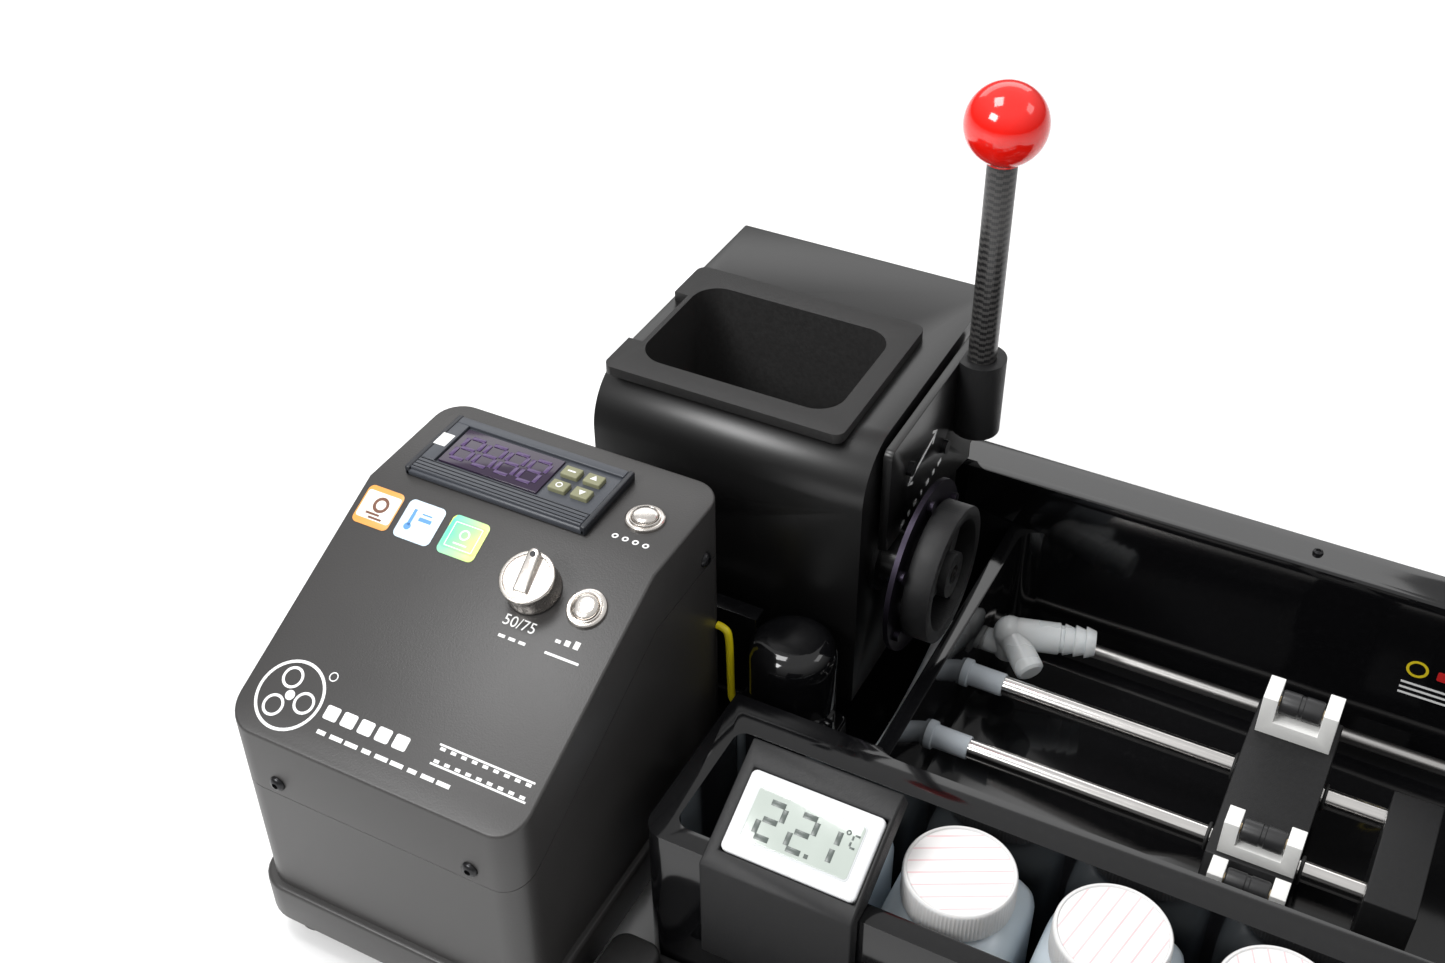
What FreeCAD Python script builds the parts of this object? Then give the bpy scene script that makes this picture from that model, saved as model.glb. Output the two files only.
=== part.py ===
"""A rotary film processor: a heated water trough with bottle rack, a control unit and a tilting lift head.

The frame: +X runs to the right along the trough, +Y to the rear, +Z up. The origin lies on the surface
that the feet stand on, under the middle foot. All lengths are in millimetres.
"""
import FreeCAD, Part
import math
import os
from types import SimpleNamespace

Vector = FreeCAD.Vector

# The driving dimensions: the alias of each cell and its value.
DIMENSIONS = {
    # control unit
    "case_left": -250.0, "case_right": -133.0, "case_front": -147.3, "case_rear": -5.0,
    "case_top": 151.5, "case_bottom": 30.0, "case_wall": 2.5, "case_corner": 11.0,
    "fold_depth": -56.0, "slope_drop": 40.85, "seam_drop": 24.5, "seam_front_fall": 43.5, "seam_gap": 0.4,
    "lip_reach": 3.0, "lip_bottom": 12.0, "lip_corner": 13.0,
    "screw_radius": 1.5, "screw_head": 3.0, "screw_head_height": 1.8, "screw_length": 9.0,
    "display_left": -238.7, "display_front": -50.1, "display_width": 75.0, "display_depth": 34.5,
    "display_rise": 4.0, "display_body_drop": 55.0, "display_rim": 2.0,
    "key_width": 7.0, "key_depth": 5.2, "key_height": 3.2, "key_pitch_across": 9.2, "key_pitch_down": 8.4,
    "key_left": -186.6, "key_rear": -24.0, "key_gap": 0.3, "key_travel": 0.7,
    "button_flange": 7.2, "button_barrel": 6.0, "button_plunger": 4.7, "button_rise": 3.2,
    "button_thick": 1.8, "button_depth": 14.0,
    "pump_button_across": -149.9, "pump_button_back": -32.9,
    "low_button_across": -149.1, "low_button_down": 19.2,
    "knob_across": -169.9, "knob_down": 18.8, "knob_skirt": 10.0, "knob_grip": 8.6, "knob_height": 12.2,
    "knob_shaft": 3.0,
    # trough
    "tub_left": -225.0, "tub_step": -115.0, "tub_right": 200.0, "tub_front": -103.0, "tub_rear": 150.0,
    "tub_wing": 5.0, "tub_bottom": 6.0, "tub_floor": 9.0, "tub_top": 82.0,
    "bay_left": -129.5, "bay_top": 45.0,
    "rack_left": -106.0, "rack_right": 190.0, "rack_front": -95.3, "rack_rear": -47.7,
    "bath_left": -60.0, "bath_right": 190.0, "bath_front": -35.0, "bath_rear": 126.0,
    "well_left": -218.0, "well_right": -66.0, "well_front": 12.0, "weir_top": 62.0,
    "foot_radius": 9.0,
    # rods and roller carriage
    "rod_radius": 4.0, "rod_height": 34.0, "heater_radius": 3.0, "heater_back": 115.5, "heater_height": 16.5,
    "rod_rear_at": 62.0, "rod_front_at": 24.0,
    "rod_start": -64.0, "rod_end": 121.0, "running_gap": 0.05, "seat_gap": 0.02,
    "boss_right": -43.5, "boss_radius": 4.5, "collar_radius": 5.4, "collar_width": 2.5,
    "end_block_left": 107.0, "end_block_width": 18.0, "end_block_rear": 68.0, "end_block_top": 44.0,
    "carriage_left": 52.0, "carriage_width": 31.5, "carriage_bottom": 22.0,
    "bracket_left": 54.0, "bracket_width": 27.5, "ear_width": 5.5, "roller_gap": 0.5, "roller_pin": 1.5,
    # lift head
    "pivot_across": -192.0, "pivot_height": 102.0, "pivot_radius": 4.0,
    "head_left": -201.5, "head_right": -90.0, "head_front": 17.0, "head_rear": 145.5, "head_top": 162.0,
    "head_step": 92.0, "head_skirt": 118.0, "head_bottom": 44.0, "head_wall": 2.5, "head_bend": 22.0,
    "shaft_back": 42.0, "shaft_height": 102.0, "shaft_radius": 4.0,
    "cup_left": -192.0, "cup_right": -110.0, "cup_front": 33.5, "cup_rear": 90.0, "cup_wall": 2.0,
    "cup_bottom": 108.5, "cup_corner": 11.0, "flange_thick": 4.0,
    "plate_left": -88.0, "plate_thick": 3.5, "lever_across": -78.0, "lever_back": 99.0,
    "lever_radius": 5.5, "ball_radius": 15.0, "ball_height": 258.0,
    "motor_back": 84.0, "motor_height": 74.0, "motor_radius": 18.5, "motor_left": -168.0, "motor_length": 59.0,
    "belt_left": -105.0, "belt_width": 8.0, "belt_thick": 1.6, "drive_pulley": 16.0, "motor_pulley": 8.0,
    "coupling_left": -72.0, "coupling_width": 10.0, "coupling_radius": 27.0, "disc_radius": 34.0,
    # bottles
    "bottle_first": -64.0, "bottle_pitch": 51.2, "bottle_back": -71.5, "bottle_width": 46.0,
    "bottle_bottom": 9.2, "bottle_shoulder": 60.0, "bottle_collar": 70.0, "neck_radius": 16.0,
    "neck_top": 82.5, "bottle_wall": 1.5, "cap_radius": 19.0, "cap_bottom": 72.0, "cap_top": 85.0,
    # thermometer
    "holder_left": -89.0, "holder_width": 54.5, "module_width": 48.0, "module_depth": 28.6,
    "module_thick": 8.4, "module_tilt": 29.0,
}
BOTTLE_COUNT = 4
SPOKES = 3
TUBE_BEND_SHARE = 0.45


class Size:
    """A length that carries its value and the spreadsheet expression that gives it."""

    def __init__(self, text, value):
        self.text = text
        self.value = value

    def _with(self, other, sign, value):
        return Size("(%s %s %s)" % (self.text, sign, text_of(other)), value)

    def __add__(self, other):
        return self._with(other, "+", self.value + value_of(other))

    def __sub__(self, other):
        return self._with(other, "-", self.value - value_of(other))

    def __mul__(self, other):
        return self._with(other, "*", self.value * value_of(other))

    def __truediv__(self, other):
        return self._with(other, "/", self.value / value_of(other))

    def __neg__(self):
        return Size("(0 - %s)" % self.text, -self.value)

    def __radd__(self, other):
        return Size("(%s + %s)" % (text_of(other), self.text), value_of(other) + self.value)

    def __rsub__(self, other):
        return Size("(%s - %s)" % (text_of(other), self.text), value_of(other) - self.value)


def value_of(length):
    return length.value if isinstance(length, Size) else float(length)


def text_of(length):
    return length.text if isinstance(length, Size) else repr(float(length))


doc = FreeCAD.newDocument("RotaryFilmProcessor")
sheet = doc.addObject("Spreadsheet::Sheet", "Dims")
for row, (alias, value) in enumerate(DIMENSIONS.items(), start=1):
    sheet.set("A%d" % row, alias)
    sheet.set("B%d" % row, str(value))
    sheet.setAlias("B%d" % row, alias)
doc.recompute()
d = SimpleNamespace(**{alias: Size("Dims." + alias, value) for alias, value in DIMENSIONS.items()})

nodes = []
ACROSS = Vector(1, 0, 0)
BACK = Vector(0, 1, 0)
UP = Vector(0, 0, 1)
TO_X = FreeCAD.Rotation(BACK, 90)
TO_Y = FreeCAD.Rotation(ACROSS, -90)
UPRIGHT = FreeCAD.Rotation()
slope_angle = math.degrees(math.atan2(d.slope_drop.value, d.fold_depth.value - d.case_front.value))
SLOPE = FreeCAD.Rotation(ACROSS, slope_angle)
MODULE = FreeCAD.Rotation(ACROSS, d.module_tilt.value)


def bind(thing, name, length):
    """Set a property, or one part of a placement, and tie it to the sheet."""
    thing.setExpression(name, text_of(length))


def place(thing, corner, rotation=UPRIGHT):
    """Put an object at a corner, whose three lengths stay tied to the sheet."""
    thing.Placement = FreeCAD.Placement(Vector(*[value_of(length) for length in corner]), rotation)
    for letter, length in zip("xyz", corner):
        if isinstance(length, Size):
            bind(thing, "Placement.Base." + letter, length)
    return thing


def box(low, high):
    """A block between two corners."""
    block = doc.addObject("Part::Box", "Block")
    for name, start, end in zip(("Length", "Width", "Height"), low, high):
        bind(block, name, end - start)
    return place(block, low)


def turned_box(low, high, frame):
    """A block between two corners given in a frame of its own."""
    block = doc.addObject("Part::Box", "Block")
    for name, start, end in zip(("Length", "Width", "Height"), low, high):
        bind(block, name, end - start)
    corner = Vector(*[value_of(length) for length in low])
    block.Placement = frame.multiply(FreeCAD.Placement(corner, UPRIGHT))
    return block


def cylinder(radius, length, base, rotation=UPRIGHT):
    """A round bar that starts at its base and runs along the rotation's own Z."""
    bar = doc.addObject("Part::Cylinder", "Bar")
    bind(bar, "Radius", radius)
    bind(bar, "Height", length)
    return place(bar, base, rotation)


def cone(low_radius, high_radius, length, base, rotation=UPRIGHT):
    taper = doc.addObject("Part::Cone", "Taper")
    bind(taper, "Radius1", low_radius)
    bind(taper, "Radius2", high_radius)
    bind(taper, "Height", length)
    return place(taper, base, rotation)


def ball(radius, centre):
    sphere = doc.addObject("Part::Sphere", "Ball")
    bind(sphere, "Radius", radius)
    return place(sphere, centre)


def cut(base, *tools):
    """The base with every tool taken away."""
    result = base
    for tool in tools:
        step = doc.addObject("Part::Cut", "Cut")
        step.Base = result
        step.Tool = tool
        result = step
    return result


def fuse(*pieces):
    """Several touching shapes as one solid."""
    joined = doc.addObject("Part::MultiFuse", "Fuse")
    joined.Shapes = list(pieces)
    joined.Refine = True
    return joined


def common(base, tool):
    overlap = doc.addObject("Part::Common", "Common")
    overlap.Base = base
    overlap.Tool = tool
    return overlap


def group(pieces):
    """Separate solids that share one node."""
    together = doc.addObject("Part::Compound", "Group")
    together.Links = list(pieces)
    return together


def node(name, thing):
    """Name a finished sub-part."""
    thing.Label = name
    nodes.append(thing)
    return thing


def corner_arc(before, corner, after, radius):
    """The start, middle and end of the arc that rounds one corner of an outline."""
    into = (before - corner).normalize()
    out = (after - corner).normalize()
    half = into.getAngle(out) / 2
    reach = radius / math.tan(half)
    centre = corner + (into + out).normalize() * (radius / math.sin(half))
    middle = centre + (corner - centre).normalize() * radius
    return corner + into * reach, middle, corner + out * reach


def sketch_outline(sketch, corners):
    """Draw a closed outline of lines, each corner (x, y) or (x, y, radius) sharp or rounded."""
    points = [Vector(value_of(corner[0]), value_of(corner[1]), 0) for corner in corners]
    radii = [value_of(corner[2]) if len(corner) > 2 else 0.0 for corner in corners]
    ends = []
    for index, point in enumerate(points):
        if radii[index]:
            after = points[(index + 1) % len(points)]
            start, middle, end = corner_arc(points[index - 1], point, after, radii[index])
            sketch.addGeometry(Part.Arc(start, middle, end), False)
            ends.append((start, end))
        else:
            ends.append((point, point))
    for index, (_, end) in enumerate(ends):
        start = ends[(index + 1) % len(ends)][0]
        if end.distanceToPoint(start) > 1e-6:
            sketch.addGeometry(Part.LineSegment(end, start), False)


def prism(role, corners, start, length):
    """A body padded from an outline. On XY it grows up, on YZ to the right and on XZ to the front."""
    body = doc.addObject("PartDesign::Body", "Prism")
    plane = [feature for feature in body.Origin.OriginFeatures if feature.Role == role][0]
    sketch = body.newObject("Sketcher::SketchObject", "Outline")
    sketch.AttachmentSupport = (plane, [""])
    sketch.MapMode = "FlatFace"
    sketch_outline(sketch, corners)
    pad = body.newObject("PartDesign::Pad", "Pad")
    pad.Profile = sketch
    bind(pad, "Length", length)
    body.Tip = pad
    letter = {"XY_Plane": "z", "YZ_Plane": "x", "XZ_Plane": "y"}[role]
    base = [start if axis == letter else 0.0 for axis in "xyz"]
    return place(body, base)


def rounded_block(low, high, radius):
    """A block whose upright corners are rounded."""
    corners = [(low[0], low[1], radius), (high[0], low[1], radius), (high[0], high[1], radius),
               (low[0], high[1], radius)]
    return prism("XY_Plane", corners, low[2], high[2] - low[2])


def on_slope(across, down, lift):
    """A point on the case's sloped face: across, down the slope, and off the face along its normal."""
    lean = math.radians(slope_angle)
    back = d.fold_depth - value_of(down) * math.cos(lean) - value_of(lift) * math.sin(lean)
    height = d.case_top - value_of(down) * math.sin(lean) + value_of(lift) * math.cos(lean)
    return (across, back, height)


def tube_along(points, radius):
    """A round tube along straight runs joined by arcs as large as the runs allow."""
    edges = []
    start = points[0]
    for before, corner, after in zip(points, points[1:], points[2:]):
        run = min(before.distanceToPoint(corner), after.distanceToPoint(corner))
        half = (before - corner).getAngle(after - corner) / 2
        bend = TUBE_BEND_SHARE * run * math.tan(half)
        first, middle, last = corner_arc(before, corner, after, bend)
        edges.append(Part.LineSegment(start, first).toShape())
        edges.append(Part.Arc(first, middle, last).toShape())
        start = last
    edges.append(Part.LineSegment(start, points[-1]).toShape())
    path = Part.Wire(edges)
    ring = Part.Wire([Part.Circle(points[0], points[1] - points[0], radius).toShape()])
    shape = path.makePipeShell([ring], True, False)
    ratio = shape.Volume / (math.pi * radius ** 2 * path.Length)
    print("tube volume over section times length: %.4f" % ratio)
    feature = doc.addObject("Part::Feature", "Tube")
    feature.Shape = shape
    return feature


# ---------------------------------------------------------------- control unit

def case_profile(inset, low_rear, low_fold, low_front):
    """The case's side outline in Y and Z, drawn in from its faces by inset."""
    lean = math.radians(slope_angle)
    fold = d.fold_depth - inset * math.tan(lean / 2)
    front_top = d.case_top - d.slope_drop - inset / math.cos(lean) + inset * math.tan(lean)
    rear = d.case_rear - inset
    front = d.case_front + inset
    return [(rear, low_rear), (rear, d.case_top - inset), (fold, d.case_top - inset), (front, front_top),
            (front, low_front), (d.fold_depth, low_fold)]


def case_shell(low_rear, low_fold, low_front):
    """The walls of the case above a given lower outline."""
    outer = prism("YZ_Plane", case_profile(0.0, low_rear, low_fold, low_front),
                  d.case_left, d.case_right - d.case_left)
    plan = rounded_block((d.case_left, d.case_front, d.case_bottom), (d.case_right, d.case_rear, d.case_top + 1),
                         d.case_corner)
    inner_low = [low_rear - 1, low_fold - 1, low_front - 1]
    inner = prism("YZ_Plane", case_profile(d.case_wall.value, *inner_low),
                  d.case_left + d.case_wall, d.case_right - d.case_left - d.case_wall * 2)
    return cut(common(outer, plan), inner)


SCREWS = (("front", -230.5, 89.6), ("front", -152.0, 89.6), ("side", -21.4, 131.0))


def screw_seats(radius, head):
    """The case screws, or with no head the holes for them, through the skirt of the top cover."""
    seats = []
    length = d.screw_length
    for face, along, height in SCREWS:
        if face == "front":
            shank = cylinder(radius, length, (along, d.case_front - 0.2, height), TO_Y)
            cap = cylinder(d.screw_head, d.screw_head_height, (along, d.case_front - d.screw_head_height, height), TO_Y)
            seats.append(fuse(shank, cap) if head else shank)
            continue
        right_shank = cylinder(radius, length, (d.case_right + 0.2 - length, along, height), TO_X)
        right_cap = cylinder(d.screw_head, d.screw_head_height, (d.case_right, along, height), TO_X)
        left_shank = cylinder(radius, length, (d.case_left - 0.2, along, height), TO_X)
        left_cap = cylinder(d.screw_head, d.screw_head_height,
                            (d.case_left - d.screw_head_height, along, height), TO_X)
        seats.append(fuse(right_shank, right_cap) if head else right_shank)
        seats.append(fuse(left_shank, left_cap) if head else left_shank)
    return seats


def control_top_cover():
    low = d.case_top - d.seam_drop
    shell = case_shell(low, low, low - d.seam_front_fall)
    opening = box((d.display_left + d.display_rim - 0.2, d.display_front + d.display_rim - 0.2, d.case_top - 5),
                  (d.display_left + d.display_width - d.display_rim + 0.2,
                   d.display_front + d.display_depth - d.display_rim + 0.2, d.case_top + 1))
    pump_hole = cylinder(d.button_barrel + d.running_gap, 8,
                         (d.pump_button_across, d.pump_button_back, d.case_top - 6))
    low_hole = cylinder(d.button_barrel + d.running_gap, 10, on_slope(d.low_button_across, d.low_button_down, -8),
                        SLOPE)
    knob_hole = cylinder(d.knob_shaft + d.running_gap, 10, on_slope(d.knob_across, d.knob_down, -8), SLOPE)
    holes = screw_seats(d.screw_radius + d.running_gap, False)
    node("control_top_cover", cut(shell, opening, pump_hole, low_hole, knob_hole, *holes))


def control_body():
    low = d.case_top - d.seam_drop - d.seam_gap
    front_low = low - d.seam_front_fall
    wall = d.case_wall
    outer = prism("YZ_Plane", [(d.case_rear, d.case_bottom), (d.case_rear, low), (d.fold_depth, low),
                               (d.case_front, front_low), (d.case_front, d.case_bottom)],
                  d.case_left, d.case_right - d.case_left)
    plan = rounded_block((d.case_left, d.case_front, d.case_bottom), (d.case_right, d.case_rear, d.case_top),
                         d.case_corner)
    inner = rounded_block((d.case_left + wall, d.case_front + wall, d.case_bottom - 1),
                          (d.case_right - wall, d.case_rear - wall, d.case_top), d.case_corner - wall)
    tongues = []
    for face, along, height in SCREWS:
        if face == "front":
            tongues.append(box((along - 6.0, d.case_front + wall, height - 16.0),
                               (along + 6.0, d.case_front + wall * 2, height + 6.0)))
        else:
            tongues.append(box((d.case_right - wall * 2, along - 6.0, height - 14.0),
                               (d.case_right - wall, along + 6.0, height + 6.0)))
            tongues.append(box((d.case_left + wall, along - 6.0, height - 14.0),
                               (d.case_left + wall * 2, along + 6.0, height + 6.0)))
    shell = fuse(cut(common(outer, plan), inner), *tongues)
    inlet = box((d.case_left - 1, -61.5, 46.5), (d.case_left + wall + 1, -34.5, 66.5))
    gland = cylinder(1.9, 6, (d.case_right - 4, -13.0, 92.0), TO_X)
    node("control_body", cut(shell, inlet, gland, *screw_seats(d.screw_radius + d.running_gap, False)))


def control_base_plate():
    reach = d.lip_reach
    outer = rounded_block((d.case_left - reach, d.case_front - reach, d.lip_bottom),
                          (d.case_right + reach, d.case_rear + reach, d.case_bottom), d.lip_corner)
    inner = rounded_block((d.case_left + 3, d.case_front + 3, d.lip_bottom + 3),
                          (d.case_right - 3, d.case_rear - 3, d.case_bottom + 1), d.case_corner)
    node("control_base_plate", cut(outer, inner))


def temperature_controller():
    rim = d.display_rim
    right = d.display_left + d.display_width
    rear = d.display_front + d.display_depth
    top = d.case_top + d.display_rise
    bezel = box((d.display_left, d.display_front, d.case_top), (right, rear, top))
    block = box((d.display_left + rim, d.display_front + rim, d.case_top - d.display_body_drop),
                (right - rim, rear - rim, d.case_top))
    wells = []
    for column in range(2):
        for row in range(2):
            left = d.key_left + column * d.key_pitch_across.value
            back = d.key_rear - row * d.key_pitch_down.value
            wells.append(box((left - d.key_gap, back - d.key_depth - d.key_gap, top - d.key_height),
                             (left + d.key_width + d.key_gap, back + d.key_gap, top + 1)))
    window = box((-230.4, -41.2, top - 1.0), (-189.0, -21.4, top + 1))
    node("temperature_controller", cut(fuse(bezel, block), window, *wells))


def controller_keys():
    """Four keys in a square: two columns, upper row first."""
    top = d.case_top + d.display_rise
    names = (("key_set", 0, 0), ("key_up", 1, 0), ("key_reset", 0, 1), ("key_down", 1, 1))
    for name, column, row in names:
        left = d.key_left + column * d.key_pitch_across.value
        back = d.key_rear - row * d.key_pitch_down.value
        node(name, box((left, back - d.key_depth, top - d.key_height + d.key_travel + 0.2),
                       (left + d.key_width, back, top + 0.9)))


def button_bezel(spot, rotation):
    """The flange, threaded barrel and nut of one push button, with the bore for its plunger."""
    flange = cylinder(d.button_flange, d.button_thick, spot(0.0), rotation)
    barrel = cylinder(d.button_barrel, d.button_depth, spot(-d.button_depth.value), rotation)
    nut = cylinder(d.button_flange, 2.4, spot(-d.case_wall.value - 2.6), rotation)
    bore = cylinder(d.button_plunger + 0.1, d.button_depth + 6, spot(-d.button_depth.value - 1), rotation)
    return cut(fuse(flange, barrel, nut), bore)


def buttons():
    def pump_spot(lift):
        return (d.pump_button_across, d.pump_button_back, d.case_top + lift)

    def low_spot(lift):
        return on_slope(d.low_button_across, d.low_button_down, lift)

    node("button_bezels", group([button_bezel(pump_spot, UPRIGHT), button_bezel(low_spot, SLOPE)]))
    node("pump_button", cylinder(d.button_plunger, d.button_rise + 8, pump_spot(-8.0), UPRIGHT))
    node("low_speed_button", cylinder(d.button_plunger, d.button_rise + 8, low_spot(-8.0), SLOPE))


def speed_knob():
    def spot(lift):
        return on_slope(d.knob_across, d.knob_down, lift)

    skirt = cylinder(d.knob_skirt, 4, spot(0.6), SLOPE)
    grip = cylinder(d.knob_grip, d.knob_height - 3, spot(1.0), SLOPE)
    seat = FreeCAD.Placement(Vector(*[value_of(length) for length in spot(0.0)]), SLOPE)
    pointer = turned_box((-2.2, -7.6, d.knob_height - 2.5), (2.2, 8.4, d.knob_height), seat)
    shaft = cylinder(d.knob_shaft, 16, spot(-14.0), SLOPE)
    node("speed_knob", fuse(skirt, grip, pointer, shaft))


def control_inside():
    node("power_supply", rounded_block((-241.0, -136.0, 15.2), (-176.0, -66.0, 48.0), 2.0))
    board = box((-170.0, -138.0, 40.0), (-141.0, -62.0, 41.6))
    posts = [cylinder(2.5, 24.8, (across, back, 15.2)) for across in (-166.0, -145.0) for back in (-133.0, -67.0)]
    chips = [box((-163.0, back, 41.6), (-150.0, back + 14.0, 47.0)) for back in (-125.0, -103.0, -82.0)]
    node("control_circuit_board", fuse(board, *posts, *chips))
    flange = box((d.case_left - 2.2, -65.0, 44.0), (d.case_left, -31.0, 69.0))
    shell = box((d.case_left, -61.3, 46.7), (d.case_left + 18, -34.7, 66.3))
    socket = box((d.case_left - 3, -59.0, 49.0), (d.case_left + 14, -37.0, 64.0))
    pins = [box((d.case_left - 0.5, back - 1.0, height - 2.5), (d.case_left + 14.5, back + 1.0, height + 2.5))
            for back, height in ((-54.5, 54.5), (-48.0, 58.5), (-41.5, 54.5))]
    node("power_inlet", fuse(cut(fuse(flange, shell), socket), *pins))


# ---------------------------------------------------------------- trough and base

def tub():
    low = d.tub_bottom
    main = rounded_block((d.tub_step, d.tub_front, low), (d.tub_right, d.tub_rear, d.tub_top), 8.0)
    wing = rounded_block((d.tub_left, d.tub_wing, low), (d.tub_step + 20, d.tub_rear, d.tub_top), 8.0)
    bay = box((d.bay_left, -46.0, low), (d.tub_step + 12, d.tub_wing + 12, d.bay_top))
    lip = box((d.tub_left + 8, d.bath_rear, d.tub_top), (d.tub_right - 6, d.bath_rear + 4, d.tub_top + 4))
    rack = rounded_block((d.rack_left, d.rack_front, d.tub_floor), (d.rack_right, d.rack_rear, d.tub_top + 1), 5.0)
    bath = rounded_block((d.bath_left, d.bath_front, d.tub_floor), (d.bath_right, d.bath_rear, d.tub_top + 1), 9.0)
    well = box((d.well_left, d.well_front, d.tub_floor), (d.well_right, d.bath_rear, d.tub_top + 1))
    pump_bay = box((d.bay_left + 3.5, -32.0, d.tub_floor), (d.well_right, d.well_front + 1, d.tub_top + 1))
    weir = box((d.well_right - 1, -32.0, d.weir_top), (d.bath_left + 12, d.bath_rear, d.tub_top + 1))
    bosses = []
    for back in (d.rod_rear_at, d.rod_front_at):
        bosses.append(cylinder(d.boss_radius, d.boss_right - d.bath_left + 1,
                               (d.bath_left - 1, back, d.rod_height), TO_X))
        bosses.append(cylinder(d.collar_radius, d.collar_width + 1, (d.bath_left - 1, back, d.rod_height), TO_X))
    clip = box((148.0, 106.0, d.tub_floor - 1), (154.0, d.heater_back + 6, d.heater_height + 5))
    body = fuse(cut(fuse(main, wing, bay, lip), rack, bath, well, pump_bay, weir), clip, *bosses)
    clip_bore = cylinder(d.heater_radius + d.seat_gap, 8, (147.0, d.heater_back, d.heater_height), TO_X)
    bores = [cylinder(d.rod_radius + d.seat_gap, d.boss_right - d.rod_start + 1,
                      (d.rod_start, back, d.rod_height), TO_X) for back in (d.rod_rear_at, d.rod_front_at)]
    hose_hole = cylinder(5.0 + d.seat_gap, 8, (d.well_right - 1, 88.0, 30.0), TO_X)
    node("tub", cut(body, hose_hole, clip_bore, *bores))


def base_plinth():
    ledge = rounded_block((-127.0, -148.0, 2.0), (d.tub_right, d.tub_front - 0.2, 18.0), 8.0)
    pad = rounded_block((-124.0, -139.0, 16.0), (-105.0, d.tub_front - 3.0, 27.0), 6.0)
    node("base_plinth", fuse(ledge, pad))


def rubber_feet():
    tall = [cylinder(d.foot_radius, d.lip_bottom, (across, back, 0.0))
            for across in (-238.0, -145.0) for back in (-135.0, -17.0)]
    low = [cylinder(d.foot_radius, d.tub_bottom, (across, back, 0.0))
           for across, back in ((-90.0, -88.0), (184.0, -88.0), (-208.0, 134.0), (184.0, 134.0), (0.0, 0.0))]
    node("rubber_feet", group(tall + low))


def rods_and_blocks():
    length = d.rod_end - d.rod_start
    node("rod_rear", cylinder(d.rod_radius, length, (d.rod_start, d.rod_rear_at, d.rod_height), TO_X))
    node("rod_front", cylinder(d.rod_radius, length, (d.rod_start, d.rod_front_at, d.rod_height), TO_X))
    right = d.end_block_left + d.end_block_width
    block = box((d.end_block_left, 12.0, d.tub_floor + 0.1), (right, d.end_block_rear, d.end_block_top))
    bores = [cylinder(d.rod_radius + d.seat_gap, d.rod_end - d.end_block_left + 1,
                      (d.end_block_left - 1, back, d.rod_height), TO_X) for back in (d.rod_rear_at, d.rod_front_at)]
    node("rod_end_block", cut(block, *bores))


# ---------------------------------------------------------------- roller carriage

# Each row of rollers: name, shift to the right, bracket front and rear, bracket bottom, ear top, roller height, roller radius.
ROLLER_ROWS = (("rear", 0.0, 66.0, 79.0, 52.0, 70.0, 64.5, 4.8),
               ("middle", 1.8, 13.5, 22.5, 40.0, 56.0, 51.0, 4.4),
               ("front", 1.8, -3.5, 5.5, 31.0, 47.0, 42.0, 4.4))


def roller_carriage():
    low = d.carriage_bottom
    outline = [(-6.0, low), (-6.0, 31.0), (8.0, 31.0), (12.0, 40.0), (26.0, 40.0), (58.0, 52.0), (84.0, 52.0),
               (84.0, low)]
    block = prism("YZ_Plane", outline, d.carriage_left, d.carriage_width)
    bores = [cylinder(d.rod_radius + d.running_gap, d.carriage_width + 2,
                      (d.carriage_left - 1, back, d.rod_height), TO_X) for back in (d.rod_rear_at, d.rod_front_at)]
    node("roller_block", cut(block, *bores))
    rings = []
    for back in (d.rod_rear_at, d.rod_front_at):
        for left in (d.carriage_left - 2.2, d.carriage_left + d.carriage_width + 0.2):
            ring = cylinder(5.4, 2, (left, back, d.rod_height), TO_X)
            hole = cylinder(d.rod_radius + d.running_gap, 4, (left - 1, back, d.rod_height), TO_X)
            rings.append(cut(ring, hole))
    node("rod_rings", group(rings))
    brackets = []
    pins = []
    for name, shift, front, rear, bottom, top, height, radius in ROLLER_ROWS:
        middle = (front + rear) / 2
        left = d.bracket_left + shift
        right = left + d.bracket_width
        base = box((left, front, bottom), (right, rear, height - radius - 1.0))
        ear_left = box((left, front, bottom), (left + d.ear_width, rear, top))
        ear_right = box((right - d.ear_width, front, bottom), (right, rear, top))
        hole = cylinder(d.roller_pin + d.seat_gap, d.bracket_width - 4, (left + 2, middle, height), TO_X)
        brackets.append(cut(fuse(base, ear_left, ear_right), hole))
        pins.append(cylinder(d.roller_pin, d.bracket_width - 4, (left + 2, middle, height), TO_X))
        start = left + d.ear_width + d.roller_gap
        width = d.bracket_width - d.ear_width * 2 - d.roller_gap * 2
        roller = cylinder(radius, width, (start, middle, height), TO_X)
        bore = cylinder(d.roller_pin + d.running_gap, width + 2, (start - 1, middle, height), TO_X)
        node("roller_" + name, cut(roller, bore))
    node("roller_brackets", group(brackets))
    node("roller_pins", group(pins))


# ---------------------------------------------------------------- water circuit

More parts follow.
